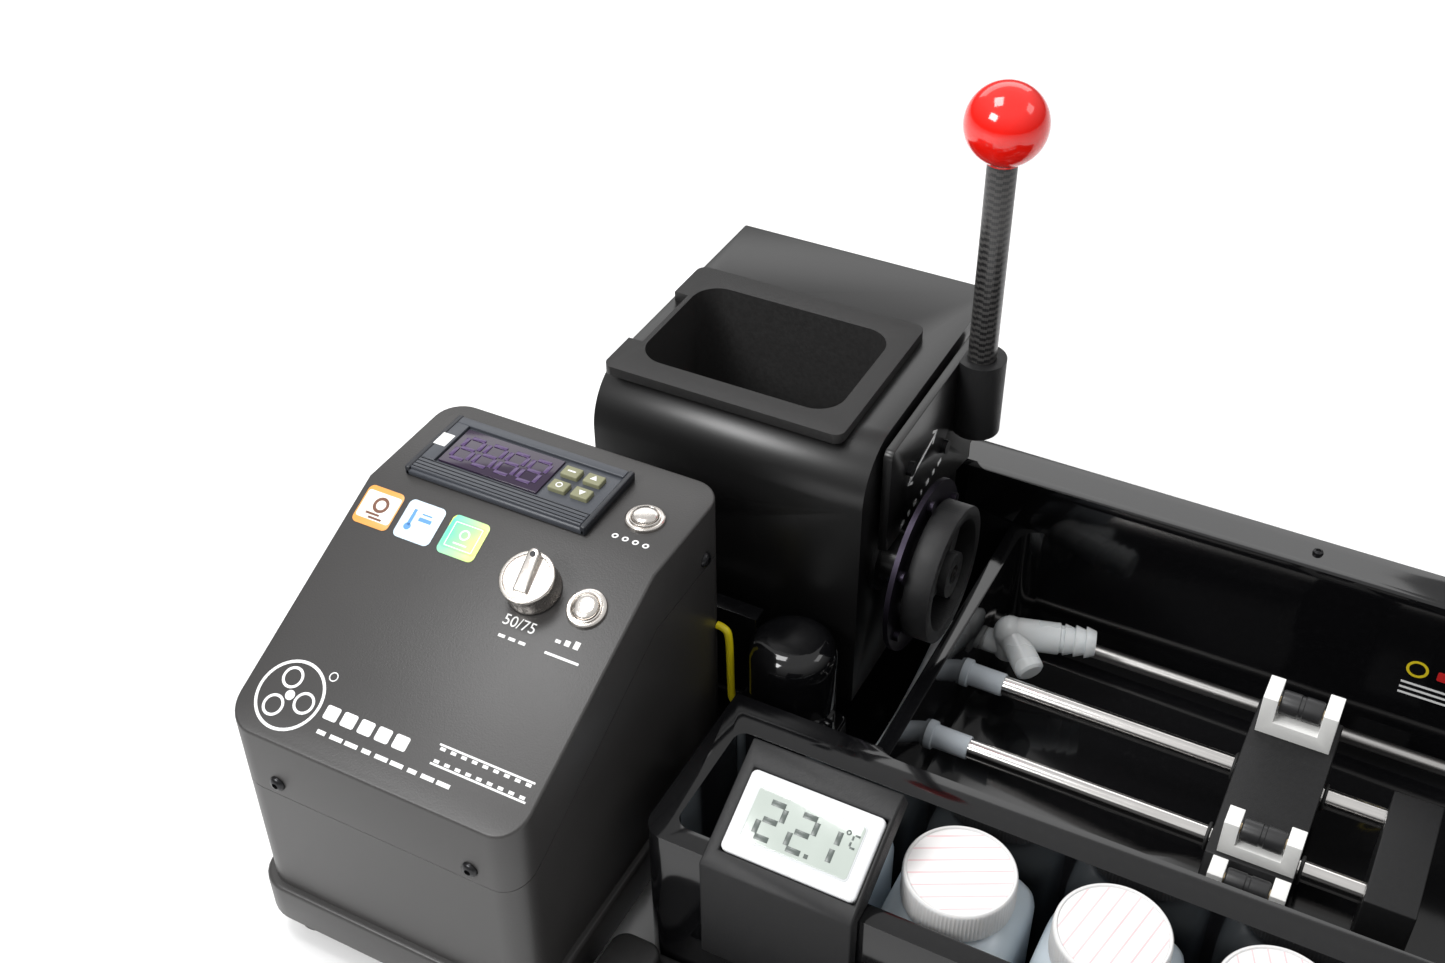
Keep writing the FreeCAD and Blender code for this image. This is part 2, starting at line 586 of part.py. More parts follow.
def water_circuit():
    drum = cylinder(17, 44, (-106.0, -4.0, 40.0))
    skirt = cone(17, 13, 6, (-106.0, -4.0, 84.0))
    foot = rounded_block((-123.0, -21.0, d.tub_floor), (-89.0, 13.0, 40.5), 4.0)
    boss = cylinder(9, 38, (-124.0, -14.0, 52.0), TO_X)
    spout = cylinder(6.5, 10, (-91.0, -4.0, 24.0), TO_X)
    cavity = cylinder(12, 12, (-106.0, -4.0, 18.0))
    outlet = cylinder(4, 16, (-98.0, -4.0, 24.0), TO_X)
    drop = cylinder(4, 20, (-106.0, -4.0, 2.0))
    shaft_hole = cylinder(2 + d.running_gap, 20, (-106.0, -4.0, 28.0))
    node("circulation_pump", cut(fuse(drum, skirt, foot, boss, spout), cavity, outlet, drop, shaft_hole))
    hub = cylinder(5, 10, (-106.0, -4.0, 19.0))
    blades = [box((-106.0 - 11.0, -4.8, 20.0), (-106.0 + 11.0, -3.2, 27.0)),
              box((-106.8, -15.0, 20.0), (-105.2, 7.0, 27.0))]
    spindle = cylinder(2, 26, (-106.0, -4.0, 20.0))
    node("pump_impeller", fuse(hub, spindle, *blades))
    hose_route = [Vector(-81.0, -4.0, 24.0), Vector(-74.0, -4.0, 24.0), Vector(-74.0, 44.0, 22.0),
                  Vector(-75.0, 88.0, 30.0), Vector(-59.9, 88.0, 30.0)]
    node("pump_hose", tube_along(hose_route, 5.0))
    wall_stub = cylinder(5, 12, (-59.8, 88.0, 30.0), TO_X)
    knuckle = ball(7, (-50.0, 88.0, 38.0))
    riser = cylinder(6, 14, (-50.0, 88.0, 26.0))
    level = FreeCAD.Rotation(UP, Vector(31.0, 9.0, 0.0))
    limb = cylinder(6.6, 22, (-50.0, 88.0, 38.0), level)
    along = Vector(31.0, 9.0, 0.0).normalize()
    barbs = [cone(6.6, 5.2, 4.6, (-50.0 + along.x * at, 88.0 + along.y * at, 38.0), level)
             for at in (21.5, 25.8, 30.1)]
    forward = FreeCAD.Rotation(UP, Vector(20.0, -18.0, -8.0))
    branch = cylinder(6, 20, (-50.0, 88.0, 38.0), forward)
    node("hose_elbow", fuse(wall_stub, knuckle, riser, limb, *barbs, branch))
    heater = cylinder(d.heater_radius, 229.0, (-59.0, d.heater_back, d.heater_height), TO_X)
    tip = ball(d.heater_radius, (170.0, d.heater_back, d.heater_height))
    gland = cylinder(3.8, 2.0, (-59.5, d.heater_back, d.heater_height), TO_X)
    node("heater_element", fuse(heater, tip, gland))
    cable_route = [Vector(-133.0, -13.0, 92.0), Vector(-128.2, -13.0, 91.0), Vector(-127.6, -13.0, 62.0),
                   Vector(-127.2, -13.0, 55.0), Vector(-124.5, -13.0, 54.0)]
    node("pump_cable", tube_along(cable_route, 1.5))


# ---------------------------------------------------------------- lift head

def pivot():
    posts = []
    for front in (24.0, 110.0):
        post = box((d.pivot_across - 6, front, d.tub_floor), (d.pivot_across + 6, front + 5, d.pivot_height))
        crown = cylinder(6, 5, (d.pivot_across, front, d.pivot_height), TO_Y)
        foot = box((d.pivot_across - 14, front - 6, d.tub_floor), (d.pivot_across + 14, front + 11, d.tub_floor + 3))
        hole = cylinder(d.pivot_radius + d.seat_gap, 9, (d.pivot_across, front - 2, d.pivot_height), TO_Y)
        posts.append(cut(fuse(post, crown, foot), hole))
    node("pivot_brackets", group(posts))
    node("pivot_pin", cylinder(d.pivot_radius, 134.5, (d.pivot_across, 14.0, d.pivot_height), TO_Y))


def lift_housing():
    wall = d.head_wall
    outline = [(d.head_front, d.head_bottom), (d.head_front, d.head_top, d.head_bend),
               (d.head_rear, d.head_top, 3.0), (d.head_rear, d.head_step), (d.head_skirt, d.head_step),
               (d.head_skirt, d.head_bottom)]
    outer = prism("YZ_Plane", outline, d.head_left, d.head_right - d.head_left)
    hollow = [(d.head_front + wall, d.head_bottom - 4), (d.head_front + wall, d.head_top - wall, d.head_bend - wall),
              (d.head_rear - wall, d.head_top - wall), (d.head_rear - wall, d.head_step - 4),
              (d.head_skirt + 1, d.head_step - 4), (d.head_skirt + 1, d.head_bottom - 4)]
    inner = prism("YZ_Plane", hollow, d.head_left + wall, d.head_right - d.head_left - wall * 2)
    left_gap = box((d.head_left - 1, d.head_front - 1, d.head_bottom - 1),
                   (d.head_left + wall + 0.5, d.head_rear + 1, d.pivot_height + 10))
    gap = d.cup_wall + 0.5
    mouth = rounded_block((d.cup_left - gap, d.cup_front - gap, d.head_top - 5),
                          (d.cup_right + gap, d.cup_rear + gap, d.head_top + 1), d.cup_corner + 2.5)
    pivot_hole = cylinder(d.pivot_radius + d.running_gap, 140, (d.pivot_across, d.head_front - 5, d.pivot_height),
                          TO_Y)
    shaft_hole = cylinder(8.02, 8, (d.head_right - 6, d.shaft_back, d.shaft_height), TO_X)
    screw_holes = [cylinder(1.55, 8, (d.head_right - 6, back, height), TO_X) for back, height in PLATE_SCREWS]
    node("lift_housing", cut(outer, inner, left_gap, mouth, pivot_hole, shaft_hole, *screw_holes))


PLATE_SCREWS = ((46.4, 141.9), (82.2, 127.4))


def hopper_cup():
    wall = d.cup_wall
    top = d.head_top + d.flange_thick
    flange = rounded_block((-200.0, 23.0, d.head_top), (-102.0, 101.0, top), 4.0)
    cup = rounded_block((d.cup_left - wall, d.cup_front - wall, d.cup_bottom),
                        (d.cup_right + wall, d.cup_rear + wall, top - 1), d.cup_corner + 2)
    inside = rounded_block((d.cup_left, d.cup_front, d.cup_bottom + wall), (d.cup_right, d.cup_rear, top + 1),
                           d.cup_corner)
    notch = box((-201.0, 43.0, d.head_top - 0.5), (d.cup_left - wall, 79.0, top + 1))
    node("hopper_cup", cut(fuse(flange, cup), inside, notch))


def lever():
    top = d.head_top - 2
    right = d.plate_left + d.plate_thick
    outline = [(29.0, 114.5), (29.0, top, 3.0), (116.0, top, 3.0), (116.0, 98.5), (52.0, 112.6)]
    plate = prism("YZ_Plane", outline, d.plate_left, d.plate_thick)
    holes = [cylinder(1.55, 8, (d.plate_left - 2, back, height), TO_X) for back, height in PLATE_SCREWS]
    node("lever_plate", cut(plate, *holes))
    screws = []
    for back, height in PLATE_SCREWS:
        shank = cylinder(1.5, right - d.head_right + 4, (d.head_right - 4, back, height), TO_X)
        spacer = cylinder(3, d.plate_left - d.head_right, (d.head_right, back, height), TO_X)
        cap = cylinder(2.8, 2, (right, back, height), TO_X)
        screws.append(fuse(shank, spacer, cap))
    node("plate_screws", group(screws))
    barrel = cylinder(9.5, 33, (d.lever_across, d.lever_back, 128.0))
    web = box((right, d.lever_back - 7, 128.0), (d.lever_across, d.lever_back + 7, 160.0))
    bore = cylinder(d.lever_radius + d.seat_gap, 40, (d.lever_across, d.lever_back, 135.0))
    trim = box((d.lever_across - 12, d.lever_back - 12, 126.0), (right, d.lever_back + 12, 162.0))
    node("lever_socket", cut(fuse(barrel, web), bore, trim))
    tube = cylinder(d.lever_radius, 112.0, (d.lever_across, d.lever_back, 135.0))
    hollow = cylinder(d.lever_radius - 1.5, 120, (d.lever_across, d.lever_back, 131.0))
    node("lever_tube", cut(tube, hollow))
    ball_bore = cylinder(d.lever_radius + d.seat_gap, 12, (d.lever_across, d.lever_back, d.ball_height - 22))
    node("lever_ball", cut(ball(d.ball_radius, (d.lever_across, d.lever_back, d.ball_height)), ball_bore))


def belt_wire(radius, plane):
    """The closed line round two pulleys, at a radius beyond the pitch radii, in an upright plane."""
    big = Vector(plane, d.shaft_back.value, d.shaft_height.value)
    small = Vector(plane, d.motor_back.value, d.motor_height.value)
    along = (small - big).normalize()
    side = ACROSS.cross(along)
    lean = math.acos((d.drive_pulley.value - d.motor_pulley.value) / big.distanceToPoint(small))

    def rim(centre, reach, sign):
        return centre + along * (reach * math.cos(lean)) + side * (sign * reach * math.sin(lean))

    big_reach = d.drive_pulley.value + radius
    small_reach = d.motor_pulley.value + radius
    upper = (rim(big, big_reach, 1), rim(small, small_reach, 1))
    lower = (rim(big, big_reach, -1), rim(small, small_reach, -1))
    return Part.Wire([Part.LineSegment(*upper).toShape(),
                      Part.Arc(upper[1], small + along * small_reach, lower[1]).toShape(),
                      Part.LineSegment(lower[1], lower[0]).toShape(),
                      Part.Arc(lower[0], big - along * big_reach, upper[0]).toShape()])


def drive():
    motor = cylinder(d.motor_radius, d.motor_length, (d.motor_left, d.motor_back, d.motor_height), TO_X)
    front = d.motor_left + d.motor_length
    stand_offs = [cylinder(3, d.head_right - d.head_wall - front, (front, back, height), TO_X)
                  for back, height in ((95.6, 66.3), (76.3, 62.4), (91.7, 85.6))]
    bore = cylinder(2.5 + d.running_gap, 12, (front - 10, d.motor_back, d.motor_height), TO_X)
    node("drive_motor", cut(fuse(motor, *stand_offs), bore))
    small = cylinder(d.motor_pulley, d.belt_width - 1, (d.belt_left + 0.5, d.motor_back, d.motor_height), TO_X)
    spindle = cylinder(2.5, 20, (front - 9, d.motor_back, d.motor_height), TO_X)
    node("motor_pulley", fuse(small, spindle))
    large = cylinder(d.drive_pulley, d.belt_width - 1, (d.belt_left + 0.5, d.shaft_back, d.shaft_height), TO_X)
    shaft = cylinder(d.shaft_radius, 44, (d.belt_left - 1, d.shaft_back, d.shaft_height), TO_X)
    node("drive_shaft", fuse(large, shaft))
    plane = d.belt_left.value
    outer = Part.Face(belt_wire(d.belt_thick.value, plane))
    inner = Part.Face(belt_wire(0.3, plane))
    belt = doc.addObject("Part::Feature", "Belt")
    belt.Shape = outer.cut(inner).extrude(ACROSS * d.belt_width.value)
    node("drive_belt", belt)
    flange = cylinder(14.5, 1.8, (d.head_right, d.shaft_back, d.shaft_height), TO_X)
    sleeve = cylinder(8, 6, (d.head_right - 6, d.shaft_back, d.shaft_height), TO_X)
    nose = cylinder(10, 7.2, (d.head_right + 1.8, d.shaft_back, d.shaft_height), TO_X)
    run = cylinder(d.shaft_radius + d.running_gap, 20, (d.head_right - 8, d.shaft_back, d.shaft_height), TO_X)
    node("shaft_bearings", cut(fuse(flange, sleeve, nose), run))


def coupling():
    left = d.coupling_left
    seats = [cylinder(d.shaft_radius + d.seat_gap, 30, (left - 10, d.shaft_back, d.shaft_height), TO_X)
             for _ in range(2)]
    rim = cylinder(d.coupling_radius, d.coupling_width, (left, d.shaft_back, d.shaft_height), TO_X)
    window = cylinder(d.coupling_radius - 5, d.coupling_width + 2, (left - 1, d.shaft_back, d.shaft_height), TO_X)
    hub = cylinder(9, d.coupling_width, (left, d.shaft_back, d.shaft_height), TO_X)
    spokes = []
    for index in range(SPOKES):
        turn = FreeCAD.Rotation(ACROSS, 90 + index * 360 / SPOKES)
        base = Vector(left.value, d.shaft_back.value, d.shaft_height.value)
        spokes.append(turned_box((0.0, -3.0, 7.0), (d.coupling_width - 3, 3.0, d.coupling_radius - 3),
                                 FreeCAD.Placement(base, turn)))
    node("drive_coupling", cut(fuse(cut(rim, window), hub, *spokes), seats[0]))
    disc = cylinder(d.disc_radius, 2, (left - 4, d.shaft_back, d.shaft_height), TO_X)
    bush = cylinder(9, 4, (left - 4, d.shaft_back, d.shaft_height), TO_X)
    bolts = []
    for index in range(6):
        turn = math.radians(30 + index * 60)
        back = d.shaft_back.value + 29 * math.cos(turn)
        height = d.shaft_height.value + 29 * math.sin(turn)
        bolts.append(cylinder(2.4, 2, (left - 2, back, height), TO_X))
    node("coupling_disc", cut(fuse(disc, bush, *bolts), seats[1]))


# ---------------------------------------------------------------- bottles and thermometer

def bottle(index):
    across = d.bottle_first + d.bottle_pitch * index
    half = d.bottle_width / 2
    wall = d.bottle_wall
    low = (across - half, d.bottle_back - half, d.bottle_bottom)
    high = (across + half, d.bottle_back + half, d.bottle_shoulder)
    shell = rounded_block(low, high, 8.0)
    shoulder = cone(half - 0.2, d.neck_radius + 2, d.bottle_collar - d.bottle_shoulder,
                    (across, d.bottle_back, d.bottle_shoulder))
    neck = cylinder(d.neck_radius, d.neck_top - d.bottle_shoulder, (across, d.bottle_back, d.bottle_shoulder))
    inside = rounded_block((across - half + wall, d.bottle_back - half + wall, d.bottle_bottom + wall),
                           (across + half - wall, d.bottle_back + half - wall, d.bottle_shoulder - wall), 6.5)
    throat = cylinder(d.neck_radius - 2, 40, (across, d.bottle_back, d.bottle_shoulder - 10))
    node("bottle_%d" % (index + 1), cut(fuse(shell, shoulder, neck), inside, throat))


def bottle_cap(index):
    across = d.bottle_first + d.bottle_pitch * index
    outer = cylinder(d.cap_radius, d.cap_top - d.cap_bottom, (across, d.bottle_back, d.cap_bottom))
    inner = cylinder(d.neck_radius + 0.3, d.cap_top - d.cap_bottom - 1,
                     (across, d.bottle_back, d.cap_bottom - 1))
    node("bottle_cap_%d" % (index + 1), cut(outer, inner))


def thermometer():
    tilt = math.radians(d.module_tilt.value)
    top_back, top_height = -69.8, 108.3
    front = -109.3
    fall = (top_back - front) * math.tan(tilt)
    depth = d.module_thick.value + 1.5
    under_back = top_back + depth * math.sin(tilt)
    under_height = top_height - depth * math.cos(tilt)
    rest = d.tub_top.value + 0.3
    meet = under_back - (under_height - rest) / math.tan(tilt)
    outline = [(top_back, top_height), (front, top_height - fall), (front, 40.0), (-103.6, 40.0), (-103.6, rest),
               (meet, rest), (under_back, under_height)]
    body = prism("YZ_Plane", outline, d.holder_left, d.holder_width)
    corner = Vector(d.holder_left.value + 4.5, top_back - 9.6 * math.cos(tilt), top_height - 9.6 * math.sin(tilt))
    frame = FreeCAD.Placement(corner, MODULE)
    pocket = turned_box((-0.2, -d.module_depth - 0.2, -d.module_thick), (d.module_width + 0.2, 0.2, 5.0), frame)
    node("thermometer_holder", cut(body, pocket))
    module = turned_box((0.0, -d.module_depth, -d.module_thick), (d.module_width, 0.0, 1.2), frame)
    recess = turned_box((5.0, -22.8, 0.6), (43.0, -4.8, 3.0), frame)
    node("thermometer_module", cut(module, recess))


# ---------------------------------------------------------------- build, check and write

control_top_cover()
control_body()
control_base_plate()
node("cover_screws", group(screw_seats(d.screw_radius, True)))
temperature_controller()
controller_keys()
buttons()
speed_knob()
control_inside()
tub()
base_plinth()
rubber_feet()
rods_and_blocks()
roller_carriage()
water_circuit()
pivot()
lift_housing()
hopper_cup()
lever()
drive()
coupling()
for place_number in range(BOTTLE_COUNT):
    bottle(place_number)
    if place_number > 0:
        bottle_cap(place_number)
thermometer()

doc.recompute()
failed = [thing.Label for thing in doc.Objects if "Invalid" in thing.State or "Error" in thing.State]
if failed:
    raise RuntimeError("objects that failed: " + ", ".join(failed))
for finished in nodes:
    shape = finished.Shape
    if shape.isNull() or not shape.isValid() or not shape.Solids:
        raise RuntimeError("bad shape: " + finished.Label)

os.makedirs("parts", exist_ok=True)
for finished in nodes:
    finished.Shape.exportStep(os.path.join("parts", finished.Label + ".step"))
print("%d nodes" % len(nodes))
for finished in nodes:
    extent = finished.Shape.BoundBox
    print("%-24s %2d solids  %9.0f mm3  X %7.1f %7.1f  Y %7.1f %7.1f  Z %6.1f %6.1f" % (
        finished.Label, len(finished.Shape.Solids), finished.Shape.Volume, extent.XMin, extent.XMax,
        extent.YMin, extent.YMax, extent.ZMin, extent.ZMax))
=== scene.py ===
"""Looks for the rotary film processor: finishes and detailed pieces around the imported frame."""
import math

import bpy
from mathutils import Matrix, Vector


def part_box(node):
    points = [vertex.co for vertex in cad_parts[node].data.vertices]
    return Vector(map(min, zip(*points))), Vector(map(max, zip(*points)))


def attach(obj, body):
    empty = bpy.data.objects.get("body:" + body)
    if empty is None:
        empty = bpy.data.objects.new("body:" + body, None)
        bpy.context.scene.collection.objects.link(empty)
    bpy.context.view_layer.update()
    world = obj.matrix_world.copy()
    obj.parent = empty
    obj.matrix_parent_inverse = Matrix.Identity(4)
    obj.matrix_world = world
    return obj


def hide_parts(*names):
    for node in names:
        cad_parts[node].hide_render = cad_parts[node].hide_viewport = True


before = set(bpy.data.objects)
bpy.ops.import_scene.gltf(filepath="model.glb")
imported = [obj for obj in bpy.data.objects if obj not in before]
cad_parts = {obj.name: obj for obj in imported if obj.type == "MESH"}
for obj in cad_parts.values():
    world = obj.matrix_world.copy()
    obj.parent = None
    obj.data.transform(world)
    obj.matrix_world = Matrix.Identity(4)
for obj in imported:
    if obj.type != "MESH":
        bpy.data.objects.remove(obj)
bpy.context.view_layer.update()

MM = 0.001
UP = Vector((0, 0, 1))


# ---------------------------------------------------------------- shader expressions

class Value:
    """One socket of a material, with arithmetic that adds Math nodes."""

    def __init__(self, paint, socket):
        self.paint = paint
        self.socket = socket

    def _math(self, operation, first, second=0.0):
        return self.paint.node("ShaderNodeMath", {"operation": operation}, {0: first, 1: second})

    def __add__(self, other):
        return self._math("ADD", self, other)

    def __radd__(self, other):
        return self._math("ADD", other, self)

    def __sub__(self, other):
        return self._math("SUBTRACT", self, other)

    def __rsub__(self, other):
        return self._math("SUBTRACT", other, self)

    def __mul__(self, other):
        return self._math("MULTIPLY", self, other)

    def __rmul__(self, other):
        return self._math("MULTIPLY", other, self)

    def __truediv__(self, other):
        return self._math("DIVIDE", self, other)

    def __gt__(self, other):
        return self._math("GREATER_THAN", self, other)

    def __lt__(self, other):
        return self._math("LESS_THAN", self, other)

    def __mod__(self, other):
        return self._math("FLOORED_MODULO", self, other)

    def wave(self):
        return self._math("SINE", self)

    def power(self, exponent):
        return self._math("POWER", self, exponent)

    def angle_from(self, other):
        return self._math("ARCTAN2", self, other)

    def within(self, low, high):
        return (self > low) * (self < high)


class Paint:
    """A material built from expressions."""

    def __init__(self, name):
        self.material = bpy.data.materials.new(name)
        self.material.use_nodes = True
        self.tree = self.material.node_tree
        self.shader = self.tree.nodes["Principled BSDF"]
        self.place = None

    def node(self, kind, settings=None, inputs=None, output=0):
        """Add a node: its settings first, then the values or links of its sockets."""
        made = self.tree.nodes.new(kind)
        for key, setting in (settings or {}).items():
            setattr(made, key, setting)
        for key, given in (inputs or {}).items():
            self.feed(made.inputs[key], given)
        return Value(self, made.outputs[output])

    def feed(self, socket, given):
        if isinstance(given, Value):
            self.tree.links.new(given.socket, socket)
        elif isinstance(given, tuple) and len(given) == 3 and socket.type == "RGBA":
            socket.default_value = (*given, 1.0)
        else:
            socket.default_value = given

    def set(self, **sockets):
        """Set the shader's sockets, named in words with _ for spaces."""
        for key, given in sockets.items():
            self.feed(self.shader.inputs[key.replace("_", " ")], given)
        return self

    def spot(self, turn=(0.0, 0.0, 0.0), scale=(1.0, 1.0, 1.0), at=(0.0, 0.0, 0.0)):
        """The object's own coordinates, moved, turned and scaled."""
        coordinates = self.node("ShaderNodeTexCoord", output=3)
        return self.node("ShaderNodeMapping", {}, {"Vector": coordinates, "Location": at, "Rotation": turn,
                                                   "Scale": scale})

    def axes(self, vector):
        split = self.node("ShaderNodeSeparateXYZ", {}, {0: vector})
        outputs = split.socket.node.outputs
        return [Value(self, outputs[index]) for index in range(3)]

    def noise(self, vector, scale, detail=2.0, roughness=0.5):
        return self.node("ShaderNodeTexNoise", {}, {"Vector": vector, "Scale": scale, "Detail": detail,
                                                    "Roughness": roughness})

    def blend(self, factor, first, second):
        return self.node("ShaderNodeMix", {"data_type": "RGBA"}, {0: factor, 6: first, 7: second}, output=2)

    def bump(self, height, strength=0.3, distance=0.0002):
        return self.node("ShaderNodeBump", {}, {"Height": height, "Strength": strength, "Distance": distance})


def moulded(name, colour, roughness, grain=900.0, strength=0.25, tint=0.25, coat=0.0):
    """Moulded plastic with a fine cast grain and slight unevenness of colour and gloss."""
    paint = Paint(name)
    spot = paint.spot()
    cloud = paint.noise(spot, 14.0, 3.0)
    grit = paint.noise(spot, grain, 2.0, 0.6)
    darker = tuple(channel * (1.0 - tint) for channel in colour)
    lighter = tuple(min(1.0, channel * (1.0 + tint)) for channel in colour)
    paint.set(Base_Color=paint.blend(cloud, darker, lighter), Roughness=roughness - 0.06 + cloud * 0.12,
              Normal=paint.bump(grit, strength, 0.00012), Coat_Weight=coat)
    return paint.material


def gloss_black():
    """Vacuum-formed gloss black sheet, slightly wavy."""
    paint = Paint("gloss_black_sheet")
    spot = paint.spot()
    wave = paint.noise(spot, 9.0, 1.0)
    dust = paint.noise(spot, 420.0, 2.0, 0.7)
    paint.set(Base_Color=paint.blend(dust.power(6.0), (0.0035, 0.0035, 0.004), (0.02, 0.02, 0.021)),
              Roughness=0.05 + wave * 0.06, Normal=paint.bump(wave, 0.12, 0.002))
    return paint.material


def brushed(name, colour, roughness, along=(1.0, 60.0, 60.0), turn=(0.0, 0.0, 0.0)):
    """Drawn or brushed metal, its lines running along one direction."""
    paint = Paint(name)
    lines = paint.noise(paint.spot(turn, along), 40.0, 3.0)
    shade = tuple(channel * 0.8 for channel in colour)
    paint.set(Base_Color=paint.blend(lines, shade, colour), Metallic=1.0,
              Roughness=roughness - 0.05 + lines * 0.12, Normal=paint.bump(lines, 0.08, 0.0001))
    return paint.material


def printed(name, colour, roughness=0.55, layer=0.00022, turn=(0.0, 0.0, 0.0)):
    """Layer-printed plastic: fine level lines and a slight mottling."""
    paint = Paint(name)
    spot = paint.spot(turn)
    height = paint.axes(spot)[2]
    lines = (height * (math.tau / layer)).wave()
    mottle = paint.noise(spot, 650.0, 2.0, 0.6)
    paint.set(Base_Color=paint.blend(mottle, tuple(c * 0.7 for c in colour), tuple(c * 1.5 for c in colour)),
              Roughness=roughness - 0.08 + mottle * 0.16, Specular_IOR_Level=0.3,
              Normal=paint.bump(lines * 0.5 + mottle, 0.35, 0.00008))
    return paint.material


def powder_coat():
    """Satin black powder coat with a fine orange peel."""
    paint = Paint("powder_coat_black")
    spot = paint.spot()
    peel = paint.noise(spot, 700.0, 2.0)
    cloud = paint.noise(spot, 8.0, 2.0)
    paint.set(Base_Color=paint.blend(cloud, (0.006, 0.006, 0.0062), (0.010, 0.0098, 0.0098)),
              Roughness=0.27 + cloud * 0.10, Normal=paint.bump(peel, 0.10, 0.0001))
    return paint.material


def carbon_weave(centre):
    """Twill carbon cloth round an upright tube, under clear coat."""
    paint = Paint("carbon_twill")
    across, back, height = paint.axes(paint.spot(at=(-centre[0], -centre[1], 0.0)))
    turn = across.angle_from(back) * (14.0 / math.tau)
    rise = height / 0.0026
    step = turn - turn % 1.0
    twill = (rise + step * 0.25) % 1.0
    thread = ((turn % 1.0) * math.tau * 3.0).wave() * 0.5 + 0.5
    over = twill.within(0.0, 0.5)
    shade = over * 0.75 + thread * 0.25
    paint.set(Base_Color=paint.blend(shade, (0.004, 0.004, 0.005), (0.060, 0.058, 0.056)),
              Roughness=0.30 + over * 0.15, Normal=paint.bump(shade, 0.3, 0.0001), Coat_Weight=0.35,
              Coat_Roughness=0.12)
    return paint.material


def lacquer_red():
    paint = Paint("red_ball_gloss")
    cloud = paint.noise(paint.spot(), 40.0, 2.0)
    paint.set(Base_Color=paint.blend(cloud, (0.80, 0.008, 0.004), (0.86, 0.012, 0.006)),
              Roughness=0.10 + cloud * 0.04, Coat_Weight=0.5, Coat_Roughness=0.03)
    return paint.material


def milky(name, colour, transmission, roughness, depth=0.004):
    """Translucent bottle or hose plastic."""
    paint = Paint(name)
    spot = paint.spot()
    cloud = paint.noise(spot, 30.0, 3.0)
    fine = paint.noise(spot, 500.0, 2.0)
    paint.set(Base_Color=paint.blend(cloud, tuple(c * 0.92 for c in colour), colour),
              Roughness=roughness - 0.04 + cloud * 0.08, Transmission_Weight=transmission,
              Subsurface_Weight=0.35, Subsurface_Radius=(1.0, 1.1, 1.2), Subsurface_Scale=depth,
              Normal=paint.bump(fine, 0.08, 0.0002))
    return paint.material


def striped_cap(number, centre, turn):
    """White cap top with thin, slanting pink lines, turned its own way on each cap."""
    paint = Paint("cap_top_striped_%d" % number)
    along = Vector((math.cos(turn), math.sin(turn), 0.0))
    across, back, _ = paint.axes(paint.spot(at=(-centre.x, -centre.y, 0.0)))
    reach = across * along.x + back * along.y
    line = (reach / 0.0049 + 20.0) % 1.0
    faint = paint.noise(paint.spot(), 90.0, 2.0)
    mask = line.within(0.0, 0.12) * (0.35 + faint * 0.4)
    paint.set(Base_Color=paint.blend(mask, (0.79, 0.765, 0.76), (0.74, 0.34, 0.37)),
              Roughness=0.5 + faint * 0.1)
    return paint.material


def lcd_glass():
    paint = Paint("lcd_grey_green")
    spot = paint.spot()
    cloud = paint.noise(spot, 60.0, 2.0)
    paint.set(Base_Color=paint.blend(cloud, (0.40, 0.45, 0.41), (0.50, 0.55, 0.51)),
              Roughness=0.16 + cloud * 0.05, Coat_Weight=0.5, Coat_Roughness=0.05)
    return paint.material


def dark_window():
    paint = Paint("controller_window_dark")
    cloud = paint.noise(paint.spot(), 80.0, 2.0)
    paint.set(Base_Color=paint.blend(cloud, (0.018, 0.010, 0.026), (0.030, 0.016, 0.042)),
              Roughness=0.08 + cloud * 0.05)
    return paint.material


def sticker(name, first, second, turn):
    """A printed label whose colour runs from one tone to another along one direction."""
    paint = Paint(name)
    spot = paint.spot(turn=(0.0, 0.0, turn), scale=(58.0, 58.0, 58.0))
    across = paint.axes(spot)[0]
    cloud = paint.noise(paint.spot(), 130.0, 2.0)
    mix = (across + cloud * 0.5) % 1.0
    paint.set(Base_Color=paint.blend(mix, first, second), Roughness=0.28 + cloud * 0.08)
    return paint.material


def plain(name, colour, roughness=0.5, metallic=0.0):
    """A small printed or turned detail with a slight unevenness."""
    paint = Paint(name)
    cloud = paint.noise(paint.spot(), 300.0, 2.0)
    paint.set(Base_Color=paint.blend(cloud, tuple(c * 0.88 for c in colour), colour), Metallic=metallic,
              Roughness=roughness - 0.04 + cloud * 0.08)
    return paint.material


def spun_metal(name, colour, roughness, lean):
    """Turned metal with a fine grain drawn across its face."""
    paint = Paint(name)
    grain = paint.noise(paint.spot(turn=(-lean, 0.0, 0.0), scale=(1.0, 30.0, 1.0)), 500.0, 2.0)
    paint.set(Base_Color=paint.blend(grain, tuple(c * 0.82 for c in colour), colour), Metallic=1.0,
              Roughness=roughness - 0.05 + grain * 0.1)
    return paint.material


# ---------------------------------------------------------------- modelling helpers

def clear():
    bpy.ops.object.select_all(action="DESELECT")


def only(thing):
    clear()
    thing.select_set(True)
    bpy.context.view_layer.objects.active = thing


def settle(thing):
    """Bake an object's place, turn and scale into its mesh."""
    only(thing)
    bpy.ops.object.transform_apply(location=True, rotation=True, scale=True)
    return thing


def named(name):
    thing = bpy.context.active_object
    thing.name = name
    thing.data.name = name
    return thing


def smooth(thing, angle=35.0):
    only(thing)
    bpy.ops.object.shade_smooth_by_angle(angle=math.radians(angle))
    return thing


